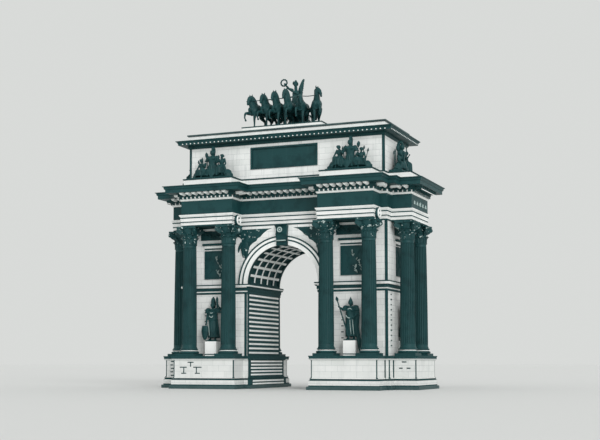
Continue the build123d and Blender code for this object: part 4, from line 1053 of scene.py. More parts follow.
def fillGuard(bm, spearman):
    k = 3.3
    head = (0.0, -0.06, 3.12)
    if spearman:
        arms = [
            ((-0.44, 0, 2.74), (-0.66, -0.14, 2.56), (-0.82, -0.42, 2.74)),
            ((0.44, 0, 2.74), (0.66, 0.02, 2.24), (0.4, -0.3, 1.98)),
        ]
    else:
        arms = [
            ((-0.44, 0, 2.74), (-0.56, 0.0, 2.16), (-0.5, -0.3, 1.6)),
            ((0.44, 0, 2.74), (0.8, -0.12, 2.76), (0.64, -0.38, 3.08)),
        ]
    legs = [
        ((-0.17, 0, 1.66), (-0.2, -0.08, 0.94), (-0.24, 0.06, 0.2), (-0.3, -0.24, 0.1)),
        ((0.17, 0, 1.66), (0.26, -0.22, 0.96), (0.27, -0.02, 0.2), (0.36, -0.32, 0.1)),
    ]
    addBody(bm, k, (0, 0, 1.76), (0, 0, 2.44), head, arms, legs)
    addHelmet(bm, k, head, crest=not spearman, pointed=True)
    if not spearman:
        addTube(bm, [
            (0, 0, 3.28, 0.19), (0, 0.02, 3.52, 0.2), (0, 0.04, 3.76, 0.13), (0, 0.04, 3.88, 0.03),
        ])
    addSkirt(bm, [
        (0, 0, 2.72, 0.3, 0.22, 0.0), (0, -0.01, 2.52, 0.45, 0.3, 0.0), (0, 0, 2.1, 0.36, 0.25, 0.0),
        (0, 0, 1.84, 0.35, 0.26, 0.02), (0, 0, 1.76, 0.37, 0.28, 0.02),
    ], 12)
    addSkirt(bm, [
        (0, 0, 1.86, 0.34, 0.27, 0.02), (0, 0, 1.6, 0.39, 0.32, 0.05), (0, 0, 0.9, 0.42, 0.38, 0.1),
        (0.02, 0, 0.34, 0.44, 0.38, 0.1),
    ], 16, 96)
    addTube(bm, [(0.37 * a, 0.28 * b, 1.84, 0.045) for a, b in around(20)], sides=8, steps=1)
    for way in (-1, 1):
        addBall(bm, (way * 0.5, 0, 2.74), (0.2, 0.2, 0.17))
        addSkirt(bm, [
            (way * 0.52, 0, 2.72, 0.19, 0.18, 0.03), (way * 0.6, -0.03, 2.46, 0.18, 0.16, 0.1),
        ], 9)
        addBall(bm, (way * 0.17, -0.27, 2.5), (0.17, 0.09, 0.13))
    addCloak(bm, 2.8, 0.3, 0.56)
    addTube(bm, [(-0.48, -0.02, 2.86, 0.08), (0, -0.22, 2.74, 0.09), (0.48, -0.02, 2.86, 0.08)])
    if spearman:  # the end of the cloak falls beside the pedestal
        folds = ((0.5, 0.02, 0.13), (0.6, 0.1, 0.11), (0.54, 0.2, 0.12))
        for x, y, wide in folds:
            addTube(bm, [
                (x - 0.06, y, 2.72, wide), (x + 0.02, y, 2.0, wide), (x - 0.04, y, 1.1, wide),
                (x + 0.12, y, 0.2, wide), (x + 0.26, y - 0.06, -0.5, wide),
                (x + 0.28, y - 0.08, -0.9, wide * 0.6),
            ])
    addBox(bm, (0, -0.02, 0.05), (1.02, 0.9, 0.1))


def fillGuardArms(bm, spearman):
    if spearman:
        foot, top = Vector((0.06, -0.56, 0.1)), Vector((-1.0, -0.52, 3.3))
        addTube(bm, [(*foot, 0.055), (*foot.lerp(top, 0.5), 0.06), (*top, 0.05)], sides=8, steps=1)
        blade = top + Vector((-0.09, 0, 0.34))
        addTube(bm, [
            (*(top - Vector((-0.02, 0, 0.06))), 0.06), (*top.lerp(blade, 0.4), 0.1), (*blade, 0.01),
        ], sides=8, wide=(1, 0, 0), factor=1.3)
    else:
        grip = Vector((0.62, -0.44, 3.1))
        tip = grip + Vector((-0.02, -0.02, 0.78))
        addTube(bm, [(*(grip - Vector((0, 0, 0.22))), 0.045), (*grip, 0.04)], sides=8, steps=1)
        addTube(bm, [
            (*grip, 0.06), (*grip.lerp(tip, 0.7), 0.085), (*tip, 0.01),
        ], sides=8, wide=(1, 0, 0.1), factor=1.4)
        addTube(bm, [
            (grip.x - 0.15, grip.y, grip.z + 0.05, 0.04), (grip.x + 0.15, grip.y, grip.z + 0.03, 0.04),
        ], sides=8, steps=1)
        outline = []
        for level in range(15):  # long shield with a point at its foot
            t = level / 14
            half = 0.29 * math.sin(math.pi * min(1, 0.22 + 0.78 * t)) ** 0.6 + 0.012
            outline.append([
                (-0.58 + half * u, -0.5 + 0.1 * u * u, 1.36 - 1.24 * t) for u in (-1, -0.5, 0, 0.5, 1)
            ])
        addSheet(bm, outline, (0, 0.07, 0))
        for side in (0, -1):
            addTube(bm, [(*row[side], 0.028) for row in outline], sides=6, steps=1)
        addBall(bm, (-0.58, -0.52, 0.9), (0.09, 0.05, 0.13), levels=2)


# sash and belt as (x, z), and the places of the hems, for the spearman and for the other guard
guardTrim = {
    True: (
        [(-0.16, 2.58), (0.04, 2.64), (0.2, 2.52)], [(-0.34, 2.08), (-0.2, 1.9), (0.0, 1.84)],
        (0.26, 0.02),
    ),
    False: ([(-0.2, 2.5), (0, 2.44), (0.16, 2.52)], [(-0.24, 2.2), (0, 2.08), (0.12, 2.2)], (-0.26,)),
}


def fillGuardTrim(bm, spearman):
    # picked out in a paler paint
    sash, belt, hems = guardTrim[spearman]
    for line, out, thick in ((sash, -0.33, 0.035), (belt, -0.31, 0.04)):
        addTube(bm, [(x, out + 0.3 * x * x, z, thick) for x, z in line], sides=6)
    for x in hems:
        addTube(bm, [
            (x, -0.34, 1.7, 0.018), (x + 0.06, -0.42, 1.2, 0.026), (x + 0.14, -0.44, 0.5, 0.02),
        ], sides=6)


guardLook = {"voxel": 0.026, "keep": 0.42, "size": 1.07}


def standingGuards():
    look = guardLook
    meshes = {}
    for spearman in (False, True):
        body = castMesh("guard", fillGuard, (spearman,), look["voxel"], 4, look["keep"])
        meshes[spearman] = [body, makeMesh("guardArms", fillGuardArms, spearman)]
    trims = {spearman: makeMesh("guardTrim", fillGuardTrim, spearman) for spearman in meshes}
    parts, trimmed = [], []
    for low, high in solidBoxes("warrior_pedestals"):
        x, y = (low.x + high.x) / 2, (low.y + high.y) / 2
        turn = outwardTurn(x, y)
        spearman = (x > 0) == (turn == 0) if abs(turn) != 90 else turn == 90
        place = turnedAt((x, y, high.z), turn, look["size"])
        parts += [(mesh, place) for mesh in meshes[spearman]]
        trimmed.append((trims[spearman], place))
    addPiece("standingGuards", gatherMesh("standingGuards", parts), castFigure, ["warriors"])
    addPiece("guardTrims", gatherMesh("guardTrims", trimmed), paleIron)


def addShield(bm, centre, axis, radius):
    profile = [
        (1.0, -0.06), (1.04, 0.02), (0.98, 0.09), (0.9, 0.05), (0.82, 0.05), (0.6, 0.15), (0.3, 0.2),
        (0.22, 0.2), (0.18, 0.3), (0.0, 0.34),
    ]
    addLathe(bm, centre, axis, [(r * radius, h * radius) for r, h in profile], 32)


def addCaptive(bm, x, y, seat, look, k, lean):
    # a mourning figure seated on the heap, one hand to the chin
    head = (x + 0.1 * lean, y - 0.14, seat + 1.04)
    inner = (
        (x - look * 0.28, y - 0.04, seat + 0.74), (x - look * 0.42, y - 0.3, seat + 0.4),
        (x - look * 0.14, y - 0.44, seat + 0.78),
    )
    outer = (
        (x + look * 0.28, y - 0.04, seat + 0.74), (x + look * 0.46, y - 0.16, seat + 0.34),
        (x + look * 0.5, y - 0.4, seat + 0.1),
    )
    arms = [inner, outer] if look > 0 else [outer, inner]
    foot = max(0.24, seat - 0.72)
    legs = [
        (
            (x - look * 0.13, y - 0.08, seat + 0.04), (x - look * 0.12, y - 0.52, seat + 0.08),
            (x - look * 0.1, y - 0.46, foot + 0.08), (x - look * 0.08, y - 0.6, foot),
        ),
        (
            (x + look * 0.13, y - 0.08, seat + 0.04), (x + look * 0.44, y - 0.44, seat + 0.1),
            (x + look * 0.6, y - 0.4, foot + 0.06), (x + look * 0.7, y - 0.54, foot),
        ),
    ]
    addBody(
        bm, k, (x, y, seat + 0.08), (x, y - 0.03, seat + 0.56), head, arms, legs,
        look=(look * 0.5, -1, -0.2),
    )
    addHair(bm, k, head, knot=False)
    addSkirt(bm, [
        (x, y - 0.08, seat + 0.24, 0.27, 0.25, 0.05), (x, y - 0.22, seat - 0.08, 0.46, 0.44, 0.1),
        (x, y - 0.2, foot + 0.1, 0.56, 0.46, 0.13),
    ], 12)


def fillTrophy(bm):
    addBox(bm, (0, 0, 0.09), (4.3, 1.26, 0.18))
    heap = [
        (-1.95, 0.02, 0.28, 0.17), (-1.3, 0.04, 0.45, 0.36), (-0.6, 0.1, 0.55, 0.5), (0.4, 0.12, 0.6, 0.52),
        (1.2, 0.04, 0.5, 0.38), (1.95, 0.02, 0.28, 0.17),
    ]
    addTube(bm, heap, sides=12, wide=(0, 1, 0), factor=1.05)
    # coat of armour on a post, with a plumed helmet
    addSkirt(bm, [
        (0.05, 0.06, 0.9, 0.5, 0.4, 0.1), (0.05, 0.06, 1.3, 0.44, 0.36, 0.08),
        (0.05, 0.06, 1.48, 0.34, 0.28, 0.02),
    ], 16, 96)
    addSkirt(bm, [
        (0.05, 0.06, 1.42, 0.36, 0.29, 0.0), (0.05, 0.04, 1.76, 0.42, 0.33, 0.0),
        (0.05, 0.03, 2.06, 0.47, 0.35, 0.0), (0.05, 0.04, 2.22, 0.27, 0.21, 0.0),
    ], 10)
    for way in (-1, 1):
        addBall(bm, (0.05 + way * 0.18, -0.25, 1.98), (0.19, 0.11, 0.17))
        addBall(bm, (0.05 + way * 0.46, 0.03, 2.08), (0.19, 0.19, 0.18))
        addSkirt(bm, [
            (0.05 + way * 0.49, 0.03, 2.05, 0.17, 0.17, 0.03),
            (0.05 + way * 0.6, 0.01, 1.72, 0.2, 0.18, 0.14),
        ], 9)
    addTube(bm, [(0.05, 0.04, 2.16, 0.14), (0.05, 0.02, 2.42, 0.13)])
    addBall(bm, (0.05, -0.02, 2.5), (0.2, 0.23, 0.23))
    addHelmet(bm, 3.7, (0.05, 0, 2.54), crest=True, pointed=False)
    addCaptive(bm, -0.92, 0.02, 1.1, -1, 2.8, -1)
    addCaptive(bm, 1.06, 0.02, 0.78, 1, 2.7, 1)
    for centre, axis, radius in (
        ((0.86, -0.52, 0.78), (0.1, -1, 0.15), 0.36), ((-0.1, -0.48, 0.5), (-0.1, -1, 0.35), 0.3),
        ((-1.66, -0.26, 0.52), (-0.7, -1, 0.4), 0.38), ((1.76, -0.24, 0.48), (0.7, -1, 0.45), 0.32),
    ):
        addShield(bm, centre, axis, radius)
    for x, y, z, size in (
        (-2.0, -0.1, 0.34, 1.9), (0.36, -0.5, 0.36, 1.7), (2.02, 0.0, 0.34, 1.8), (-0.62, -0.52, 0.36, 1.6),
    ):
        addHelmet(bm, size, (x, y, z), crest=False, pointed=False)
        addBall(bm, (x, y, z - 0.03), (0.06 * size, 0.065 * size, 0.05 * size))


def fillTrophyArms(bm):
    # standard with a plume, spears and a sword among the armour
    addTube(bm, [(0.66, 0.22, 0.4, 0.05), (0.74, 0.2, 2.3, 0.045)], sides=8, steps=1)
    addTube(bm, [
        (0.74, 0.2, 2.1, 0.07), (0.76, 0.2, 2.32, 0.15), (0.78, 0.2, 2.5, 0.13), (0.8, 0.2, 2.64, 0.03),
    ], sides=10)
    for x, lean, top in ((-0.45, -0.3, 2.0), (-0.3, -0.16, 2.1), (0.95, 0.3, 1.95), (1.2, 0.42, 1.7)):
        addTube(bm, [(x, 0.3, 0.2, 0.04), (x + lean, 0.28, top, 0.036)], sides=6, steps=1)
        addTube(bm, [
            (x + lean, 0.28, top - 0.04, 0.055), (x + lean * 1.04, 0.28, top + 0.08, 0.075),
            (x + lean * 1.1, 0.28, top + 0.28, 0.012),
        ], sides=6, wide=(1, 0, 0), factor=1.3)
    addTube(bm, [(-1.2, -0.5, 0.2, 0.05), (-1.1, -0.52, 0.96, 0.055)], sides=8)
    addTube(bm, [(-1.28, -0.52, 0.78, 0.04), (-0.96, -0.52, 0.74, 0.04)], sides=8)


# the groups on the two ends stand closer to the wall and further forward
trophyLook = {"voxel": 0.032, "keep": 0.36, "closer": 0.25, "forward": 0.35}


def trophyGroups():
    look = trophyLook
    body = castMesh("trophy", fillTrophy, (), look["voxel"], 4, look["keep"])
    arms = makeMesh("trophyArms", fillTrophyArms)
    parts = []
    for low, high in solidBoxes("trophy_groups"):
        x, y = (low.x + high.x) / 2, (low.y + high.y) / 2
        turn = outwardTurn(x, y)
        mirrored = (x < 0) == (turn == 0)
        if abs(turn) == 90:
            x, y = x - math.copysign(look["closer"], x), y - look["forward"]
        for mesh in (body, arms):
            parts.append((mesh, turnedAt((x, y, low.z), turn, 1.0, mirrored)))
    addPiece("trophyGroups", gatherMesh("trophyGroups", parts), castFigure, ["trophy_groups"])


horseTeam()
chariotGroup()
standingGuards()
trophyGroups()
print("figures cast")


def rowTree():
    # copies of one shape, evenly spaced along every line of a mesh of edges
    tree = bpy.data.node_groups.new("rowAlongLines", "GeometryNodeTree")
    kinds = {
        "Lines": "Geometry", "Shape": "Object", "Pitch": "Float", "Follow": "Float", "Turn": "Float",
        "Growth": "Float", "Seed": "Int", "Finish": "Material",
    }
    for name, kind in kinds.items():
        tree.interface.new_socket(name, in_out="INPUT", socket_type="NodeSocket" + kind)
    tree.interface.new_socket("Row", in_out="OUTPUT", socket_type="NodeSocketGeometry")
    given = addNode(tree, "NodeGroupInput").outputs
    curve = addNode(tree, "GeometryNodeMeshToCurve", inputs={0: given["Lines"]}).outputs[0]
    points = addNode(
        tree, "GeometryNodeCurveToPoints", {"mode": "LENGTH"}, {"Curve": curve, "Length": given["Pitch"]},
    )
    along = addNode(
        tree, "FunctionNodeAlignRotationToVector", {"axis": "X", "pivot_axis": "Z"},
        {"Factor": given["Follow"], "Vector": points.outputs["Tangent"]},
    )
    low = mathOn(tree, "MULTIPLY", given["Turn"], -1.0)
    angles = addNode(
        tree, "FunctionNodeRandomValue", {"data_type": "FLOAT_VECTOR"},
        {0: low, 1: given["Turn"], "Seed": given["Seed"]},
    )
    extra = addNode(tree, "FunctionNodeEulerToRotation", inputs={0: angles.outputs[0]})
    turned = addNode(
        tree, "FunctionNodeRotateRotation", {"rotation_space": "LOCAL"},
        {0: along.outputs[0], 1: extra.outputs[0]},
    )
    least, most = mathOn(tree, "SUBTRACT", 1.0, given["Growth"]), mathOn(tree, "ADD", 1.0, given["Growth"])
    sizes = addNode(
        tree, "FunctionNodeRandomValue", {"data_type": "FLOAT"}, {2: least, 3: most, "Seed": given["Seed"]},
    )
    shape = addNode(
        tree, "GeometryNodeObjectInfo", {"transform_space": "ORIGINAL"}, {"Object": given["Shape"]},
    ).outputs["Geometry"]
    placed = addNode(tree, "GeometryNodeInstanceOnPoints", inputs={
        "Points": points.outputs["Points"], "Instance": shape, "Rotation": turned.outputs[0],
        "Scale": sizes.outputs[1],
    })
    real = addNode(tree, "GeometryNodeRealizeInstances", inputs={0: placed.outputs[0]})
    finished = addNode(tree, "GeometryNodeSetMaterial", inputs={
        "Geometry": real.outputs[0], "Material": given["Finish"],
    })
    tree.links.new(finished.outputs[0], addNode(tree, "NodeGroupOutput").inputs[0])
    return tree


rowNodes = rowTree()


def rowMesh(name, lines, shape, pitch, finish, follow=1.0, turn=0.0, growth=0.0, seed=1):
    bm = bmesh.new()
    for line in lines:
        verts = [bm.verts.new(point) for point in line]
        for pair in zip(verts, verts[1:]):
            bm.edges.new(pair)
    carrier = newObject(name, asMesh(name, bm, recalc=False))
    pattern = newObject(name + "Shape", shape)
    rows = carrier.modifiers.new("rows", "NODES")
    rows.node_group = rowNodes
    values = {
        "Shape": pattern, "Pitch": pitch * 0.999, "Follow": follow, "Turn": turn, "Growth": growth,
        "Seed": seed, "Finish": finish,
    }
    for socket in rowNodes.interface.items_tree:
        if socket.in_out == "INPUT" and socket.name in values:
            rows[socket.identifier] = values[socket.name]
    made = shapedMesh(carrier, name)
    for item in (carrier, pattern):
        bpy.data.objects.remove(item)
    return made


def addRow(name, lines, shape, pitch, finish, slot, stands=(), smooth=False, **wander):
    addPiece(name, rowMesh(name, lines, shape, pitch, finish, **wander), finish, stands, smooth)


def evenLine(start, end, inset, pitch):
    # the middle part of a straight run, as long as a whole number of pitches
    start, end = Vector(start), Vector(end)
    count = max(int(((end - start).length - 2 * inset) // pitch), 1)
    half = max((count - 1) * pitch / 2, 0.0005) * (end - start).normalized()
    middle = (start + end) / 2
    return middle - half, middle + half


def fillBlock(bm, size, bevel=0.012):
    addBox(bm, (0, 0, 0), size)
    bmesh.ops.bevel(bm, geom=bm.edges[:], offset=bevel, segments=1, affect="EDGES", profile=0.5)


def fillLeaf(bm, long, wide, curl):
    rows = []
    for t in (0.0, 0.3, 0.65, 1.0):
        half = wide * (0.12 + 1.5 * t * (1 - t) + 0.25 * (1 - t) * t)
        rows.append([(u * half, -0.02 - curl * t * t - 0.03 * (1 - abs(u)), t * long) for u in (-1, 0, 1)])
    addSheet(bm, rows, (0, 0.025, 0))


entablatureLook = {
    "margin": 0.61, "pairs": pairCentre, "gap": 2.0, "front": 5.2, "end": 11.35, "body": (10.05, 3.85),
}


def entablatureOutline(offset):
    # plan of the entablature, counter-clockwise, breaking forward over each pair of columns
    look = entablatureLook
    out = look["margin"] + offset
    inner, outer = look["pairs"] - look["gap"] - out, look["pairs"] + look["gap"] + out
    front, bodyX, bodyY = look["front"] + out, look["body"][0] + offset, look["body"][1] + offset
    endX, endY = look["end"] + out, look["gap"] + out
    quarter = [
        (inner, -bodyY), (inner, -front), (outer, -front), (outer, -bodyY), (bodyX, -bodyY), (bodyX, -endY),
        (endX, -endY),
    ]
    half = quarter + [(x, -y) for x, y in reversed(quarter)]
    return half + [(-x, -y) for x, y in half]


def entablatureLines(offset, z, inset, pitch):
    spots = [(x, y, z) for x, y in entablatureOutline(offset)]
    return [evenLine(a, b, inset, pitch) for a, b in zip(spots, spots[1:] + spots[:1])]


def fillBand(bm, offset, inner, low, high):
    rings = [
        [(x, y, z) for x, y in entablatureOutline(reach)]
        for reach, z in ((offset, low), (offset, high), (inner, high), (inner, low))
    ]
    skinRings(bm, [[bm.verts.new(spot) for spot in ring] for ring in rings], closed=True)


def fillBracket(bm, wide, high, deep):
    # a half round console that carries the corona
    arc = [(wide / 2 * math.cos(math.pi * i / 8), -high * math.sin(math.pi * i / 8)) for i in range(9)]
    addLoops(bm, [[(x, y, z * (1 if y == 0 else 0.72)) for x, z in arc] for y in (0, -deep)])


corniceLook = {
    "tooth": (0.275, 0.19, 0.215), "toothPitch": 0.42, "bracket": (0.4, 0.25, 0.66), "bracketPitch": 0.62,
    "fillet": (0.06, 0.07), "stud": (0.068, 0.05, 0.058), "studPitch": 0.42, "studHeight": 23.1,
    "studOut": 0.885,
}


def corniceRows():
    look = corniceLook
    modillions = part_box("modillion_course")
    low, high = modillions[0][2], modillions[1][2]
    tooth = makeMesh("tooth", fillBlock, look["tooth"])
    lines = entablatureLines(0.175, dentilTop - 0.12, 0.005, look["toothPitch"])
    addRow("dentilTeeth", lines, tooth, look["toothPitch"], iron, "cast_iron")
    band = makeMesh("modillionBand", fillBand, 0.26, -0.2, low, high)
    addPiece("modillionBand", band, iron, ["modillion_course"], False)
    bracket = makeMesh("bracket", fillBracket, *look["bracket"])
    lines = entablatureLines(0.25, high, 0.3, look["bracketPitch"])
    far = max(start.x for start, end in lines)
    ends = [(start, end) for start, end in lines if abs(start.x + end.x) > 2 * far - 0.01]
    others = [line for line in lines if line not in ends]
    addRow("modillionRow", others, bracket, look["bracketPitch"], stoneMoulding, "limestone")
    addRow("endModillions", ends, bracket, look["bracketPitch"], iron, "cast_iron")
    fillet = makeMesh("endFillet", fillBlock, ((ends[0][0] - ends[0][1]).length + 0.3, *look["fillet"]))
    places = [(side * (far + 0.6), high - 0.27) for side in (-1, 1)]
    lines = [((x, -0.001, z), (x, 0.001, z)) for x, z in places]
    addRow("endFillets", lines, fillet, 1.0, stoneMoulding, "limestone")
    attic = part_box("attic_front_wall")
    wallX, wallY = attic[1][0] + look["studOut"], -attic[0][1] + look["studOut"]
    corners = [(x * wallX, y * wallY, look["studHeight"]) for x, y in quarters]
    lines = [evenLine(a, b, 0.1, look["studPitch"]) for a, b in zip(corners, corners[1:] + corners[:1])]
    stud = makeMesh("stud", addBall, (0, 0, 0), look["stud"], (0, 0, 0), 2)
    addRow("atticStuds", lines, stud, look["studPitch"], stoneMoulding, "limestone", smooth=True)


corniceRows()

jambLook = {"pitch": 0.41, "high": 0.17, "margin": 0.4, "pins": 0.45}


def upright(x, y, low, high):
    return (x, y, low), (x, y, high)


def passageSlabs():
    look = jambLook
    depth = 2 * (wall[1] - look["margin"])
    slab = makeMesh("slab", fillBlock, (0.09, depth, look["high"]), 0.02)
    lines = [upright(side * 3.5, 0, floorTop + 0.3, impost[0] - 0.12) for side in (-1, 1)]
    addRow(
        "jambSlabs", lines, slab, look["pitch"], stoneMoulding, "limestone", follow=0.0, growth=0.012,
        seed=3,
    )
    low = makeMesh("lowSlab", fillBlock, (0.09, depth + 0.5, look["high"] * 0.9), 0.02)
    lines = [upright(side * 3.2, 0, 1.28, 2.5) for side in (-1, 1)]
    lines += [upright(side * 3.02, 0, 0.44, 0.71) for side in (-1, 1)]
    addRow(
        "podiumSlabs", lines, low, look["pitch"] * 0.64, stoneMoulding, "limestone", follow=0.0,
        growth=0.012, seed=4,
    )
    pin = makeMesh("pin", fillBlock, (0.08, 0.3, 0.12), 0.02)
    places = [(side * wall[0], way * 2.62) for side in (-1, 1) for way in (-1, 1)]
    lines = [upright(x, y, floorTop + 0.9, impost[0] - 0.3) for x, y in places]
    addRow("wallPins", lines, pin, look["pins"], iron, "cast_iron", follow=0.0, growth=0.15, seed=5)
    pin = makeMesh("frontPin", fillBlock, (0.26, 0.06, 0.1), 0.02)
    lines = []
    for way in (-1, 1):
        for side, z in ((-1, 5.7), (1, 4.6)):
            lines.append(upright(side * pairCentre + 0.98 * way, way * wall[1], z, z + 1.6))
    addRow("frontPins", lines, pin, look["pins"] * 1.15, iron, "cast_iron", follow=0.0, growth=0.2, seed=6)


passageSlabs()

# open joints on the fronts of the podiums: the middle's x and z, then width and height
jointLook = {
    "block": [
        (-8.1, 2.42, 0.6, 0.09), (-8.1, 2.2, 0.09, 0.36), (-8.85, 1.97, 0.7, 0.09), (-8.8, 1.7, 0.09, 0.45),
        (-8.8, 1.42, 0.5, 0.09), (-7.4, 1.97, 0.85, 0.09), (-7.5, 1.7, 0.09, 0.45), (-7.4, 1.42, 0.5, 0.09),
    ],
    "end": [(11.3, 2.45, 0.42, 0.1), (11.0, 1.9, 0.32, 0.1), (11.7, 1.9, 0.34, 0.1)]
    + [(-11.72 - 0.06 * (i % 2), 2.5 - 0.33 * i, 0.3, 0.1) for i in range(5)],
    "out": {"block": 6.25, "end": 3.05},
}


def fillJoints(bm):
    for face, out in jointLook["out"].items():
        for x, z, wide, high in jointLook[face]:
            for way in (-1, 1):  # the back is the front turned half round
                addBox(bm, (-way * x, way * out, z), (wide, 0.03, high))


addPiece("podiumJoints", makeMesh("podiumJoints", fillJoints), iron)


def onFaces(points, out):
    # the same line on the wall behind each pair of columns; points are (along, height)
    lines = []
    for way in (-1, 1):
        for side in (-1, 1):
            lines.append([(side * pairCentre - way * u, way * (wall[1] + out), z) for u, z in points])
        lines.append([(way * (wall[0] + out), way * u, z) for u, z in points])
    return lines


garlandLook = {
    "swag": [
        (-1.3, 14.72), (-0.95, 14.38), (-0.5, 14.16), (0, 14.08), (0.5, 14.16), (0.95, 14.38), (1.3, 14.72),
    ],
    "branches": [
        [(0.98, 10.4), (0.86, 10.95), (0.55, 11.4), (0.2, 11.7), (0.05, 12.1)],
        [(0.5, 10.35), (0.32, 10.75), (0.1, 11.0)],
    ],
}


def garlands():
    leaf = makeMesh("leaf", fillLeaf, 0.3, 0.11, 0.08)
    addRow(
        "garlandLeaves", onFaces(garlandLook["swag"], 0.15), leaf, 0.1, garlandIron, "cast_iron",
        smooth=True, turn=1.3, growth=0.25, seed=7,
    )
    # pale laurel branches: real ornament whose pale paint is a painted highlight on the reliefs
    lines = [line for branch in garlandLook["branches"] for line in onFaces(branch, 0.14)]
    twig = makeMesh("twig", fillLeaf, 0.34, 0.09, 0.05)
    addRow(
        "laurelBranches", lines, twig, 0.13, paleIron, "cast_iron", smooth=True, turn=0.9, growth=0.2,
        seed=8,
    )


garlands()


def fillGeniusCloth(bm):
    edge = [
        (0.98, 14.74), (1.5, 14.6), (1.95, 14.28), (2.2, 14.0), (2.5, 13.86), (2.62, 13.62), (3.0, 13.42),
        (3.28, 13.16), (3.42, 12.7), (3.5, 12.2), (3.72, 11.98), (3.95, 12.2), (3.98, 12.75), (4.22, 13.2),
        (4.12, 13.8), (4.4, 14.2), (4.9, 14.4), (5.05, 14.74),
    ]
    addLoops(bm, [[(x, y, z) for x, z in edge] for y in (0.16, 0.0)])


def fillGenius(bm):
    # a winged figure that leans back along the arch, on the right of the front
    body = [(3.78, 0, 13.42), (3.55, 0, 13.98), (3.38, -0.02, 14.46)]
    arms = [
        ((3.35, -0.05, 14.12), (2.9, -0.05, 14.02), (2.5, -0.05, 14.3)),
        ((3.75, -0.02, 14.16), (4.1, -0.02, 13.9), (4.35, -0.02, 14.2)),
    ]
    legs = [
        ((3.72, 0, 13.4), (3.42, -0.05, 12.95), (3.72, 0, 12.5), (3.66, 0, 12.3)),
        ((3.9, 0, 13.38), (4.1, 0, 12.9), (4.0, 0, 12.4), (3.9, 0, 12.2)),
    ]
    addBody(bm, 2.4, *body, arms, legs)
    addHair(bm, 2.4, body[2])
    addRing(bm, (2.2, -0.03, 14.38), 0.2, 0.05)
    feathers = [
        ((3.75, 14.1), (2.15, 14.72), 0.16), ((3.8, 14.0), (2.6, 14.62), 0.13),
        ((3.95, 14.1), (4.9, 14.72), 0.2), ((4.0, 14.0), (5.05, 14.3), 0.16),
        ((3.4, 14.35), (1.35, 14.7), 0.1),
    ]
    for root, tip, wide in feathers:
        middle = ((root[0] + tip[0]) / 2, 0.06, (root[1] + tip[1]) / 2 + 0.08, wide)
        addTube(bm, [
            (root[0], 0.08, root[1], wide), middle, (tip[0], 0.08, tip[1], 0.03),
        ], wide=(0, 1, 0), factor=0.6)
    folds = [
        ((3.7, 13.45), (3.52, 12.15), 0.24), ((3.9, 13.4), (3.95, 12.1), 0.2),
        ((3.55, 13.6), (2.85, 13.62), 0.12), ((4.1, 13.5), (4.45, 12.6), 0.15),
    ]
    for start, end, wide in folds:
        middle = ((start[0] + end[0]) / 2 + 0.06, 0, (start[1] + end[1]) / 2, wide * 0.9)
        addTube(bm, [(start[0], 0.02, start[1], wide), middle, (end[0], 0.02, end[1], 0.05)])


def addRing(bm, centre, radius, thick, axis="y", sides=8, steps=28):
    rings = []
    for a, b in around(steps, closed=False):
        ring = []
        for across, up in around(sides, closed=False):
            flat, deep = radius + thick * across, thick * up
            spot = (deep, flat * a, flat * b) if axis == "x" else (flat * a, deep, flat * b)
            ring.append(bm.verts.new(Vector(centre) + Vector(spot)))
        rings.append(ring)
    skinRings(bm, rings, closed=True)


def spandrelFigures():
    figure = castMesh("genius", fillGenius, voxel=0.03, smooth=4, keep=0.5)
    cloth = castMesh("cloth", fillGeniusCloth, voxel=0.04, smooth=6, keep=0.3)
    genius = gatherMesh("genius", [(figure, Matrix()), (cloth, Matrix())])
    flat = Matrix.Translation((0, -wall[1] - 0.03, 0)) @ Matrix.Diagonal((1, 0.5, 1, 1))
    turns = [Matrix.Diagonal((x, y, 1, 1)) @ flat for x in (1, -1) for y in (1, -1)]
    figures = gatherMesh("spandrelFigures", [(genius, turn) for turn in turns])
    # the spandrel figures carry pale flecks of painted highlight
    addPiece("spandrelFigures", figures, capitalHighlightIron, ["spandrel_reliefs"])


spandrelFigures()


# discs on the sides of the parts that break forward: (x, sign of the side), (y, z), sizes
rosetteLook = {
    "faces": ((9.43, 1), (4.17, -1)), "spot": (4.85, 15.5), "ring": (0.36, 0.085),
    "disc": [(0.5, 0.0), (0.52, 0.16), (0.46, 0.22), (0.2, 0.2), (0.0, 0.2)],
}


def fillRosette(bm, ring):
    y, z = rosetteLook["spot"]
    for side in (-1, 1):
        for way in (-1, 1):
            for x, out in rosetteLook["faces"]:
                if ring:
                    addRing(bm, (side * (x + out * 0.24), way * y, z), *rosetteLook["ring"], "x")
                    addBall(bm, (side * (x + out * 0.26), way * y, z), (0.1, 0.13, 0.13))
                else:
                    addLathe(bm, (side * x, way * y, z), (side * out, 0, 0), rosetteLook["disc"])


def fillAnthemion(bm):
    # a spray of five leaves
    for turn in (-70, -35, 0, 35, 70):
        place = Matrix.Rotation(math.radians(turn), 4, "Y") @ Matrix.Translation((0, 0, 0.05))
        before = len(bm.verts)
        fillLeaf(bm, 0.34, 0.085, 0.02)
        bm.verts.ensure_lookup_table()
        bmesh.ops.transform(bm, matrix=place, verts=bm.verts[before:])


# sprays on the ends of the frieze, and the keystones' face, ring height and cap height
ornamentLook = {"height": 16.52, "reach": 2.5, "pitch": 0.9, "keystone": (4.5, 14.5, 13.52)}


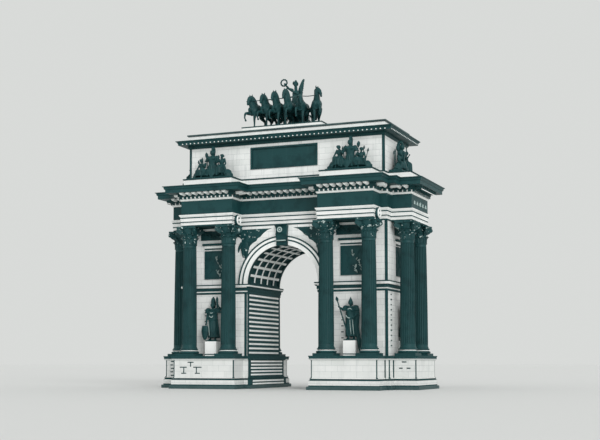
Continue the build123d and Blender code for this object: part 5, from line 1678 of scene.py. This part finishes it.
def smallOrnaments():
    look = ornamentLook
    addPiece("rosetteDiscs", makeMesh("rosetteDiscs", fillRosette, False), iron)
    addPiece("rosetteRings", makeMesh("rosetteRings", fillRosette, True), stoneMoulding)
    x, y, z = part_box("frieze")[1][0] + 0.01, look["reach"], look["height"]
    ends = [((side * x, -side * y, z), (side * x, side * y, z)) for side in (-1, 1)]
    lines = [evenLine(*pair, 0.2, look["pitch"]) for pair in ends]
    spray = makeMesh("spray", fillAnthemion)
    addRow(
        "friezeSprays", lines, spray, look["pitch"], paleIron, "cast_iron", smooth=True, growth=0.1, seed=9,
    )
    bm = bmesh.new()
    face, ringHeight, capHeight = look["keystone"]
    for way in (-1, 1):
        addRing(bm, (0, way * face, ringHeight), 0.2, 0.06)
        addBall(bm, (0, way * face, ringHeight), (0.08, 0.05, 0.08))
        addBox(bm, (0, way * (face - 0.34), capHeight), (0.96, 0.42, 0.08))
    addPiece("keystoneTrim", asMesh("keystoneTrim", bm), paleIron)


smallOrnaments()


stageLook = {
    "paper": (0.69, 0.705, 0.69), "floor": (0.645, 0.66, 0.645), "size": 1200.0, "worldLight": 0.88,
    "sunStrength": 1.4, "sunAngle": 30, "sunTurn": (71, 0, 43),
}


def paleFloor():
    size = stageLook["size"]
    mesh = bpy.data.meshes.new("floor")
    mesh.from_pydata([(x * size, y * size, 0) for x, y in quarters], [], [(0, 1, 2, 3)])
    floor = newObject("floor", mesh)
    material, tree, shader = newMaterial("paleFloor")
    feed(tree, shader, {"Base Color": (*stageLook["floor"], 1), "Roughness": 0.95})
    mesh.materials.append(material)


def paleWorld():
    world = bpy.data.worlds.new("paleWorld")
    bpy.context.scene.world = world
    world.use_nodes = True
    tree = world.node_tree
    tree.nodes.clear()
    output = tree.nodes.new("ShaderNodeOutputWorld")
    light = addNode(tree, "ShaderNodeBackground", inputs={
        "Color": (1, 1, 1, 1), "Strength": stageLook["worldLight"],
    })
    seen = addNode(tree, "ShaderNodeBackground", inputs={
        "Color": (*stageLook["paper"], 1), "Strength": 1.0,
    })
    path = tree.nodes.new("ShaderNodeLightPath")
    shown = mathOn(tree, "MAXIMUM", path.outputs["Is Camera Ray"], path.outputs["Is Glossy Ray"])
    mix = addNode(tree, "ShaderNodeMixShader", inputs={0: shown, 1: light.outputs[0], 2: seen.outputs[0]})
    tree.links.new(mix.outputs[0], output.inputs[0])


def sunLight():
    data = bpy.data.lights.new("softSun", "SUN")
    data.energy = stageLook["sunStrength"]
    data.angle = math.radians(stageLook["sunAngle"])
    sun = newObject("softSun", data)
    sun.rotation_euler = Euler([math.radians(turn) for turn in stageLook["sunTurn"]])


viewLook = {
    "azimuth": 22.23, "place": (40.545, -99.817, 2.458), "lens": 68.52, "tilt": 4.1, "shiftX": 0.0073,
    "shiftY": 0.10,
}


def mainCamera():
    data = bpy.data.cameras.new("mainCamera")
    data.lens = viewLook["lens"]
    data.sensor_width = 36
    data.shift_x = viewLook["shiftX"]
    data.shift_y = viewLook["shiftY"]
    data.clip_end = 1000
    camera = newObject("mainCamera", data)
    camera.location = viewLook["place"]
    camera.rotation_euler = Euler((
        math.radians(90 + viewLook["tilt"]), 0, math.radians(viewLook["azimuth"]),
    ))
    bpy.context.scene.camera = camera


paleFloor()
paleWorld()
sunLight()
mainCamera()
bpy.context.scene.view_settings.view_transform = "Standard"
print("stage set")
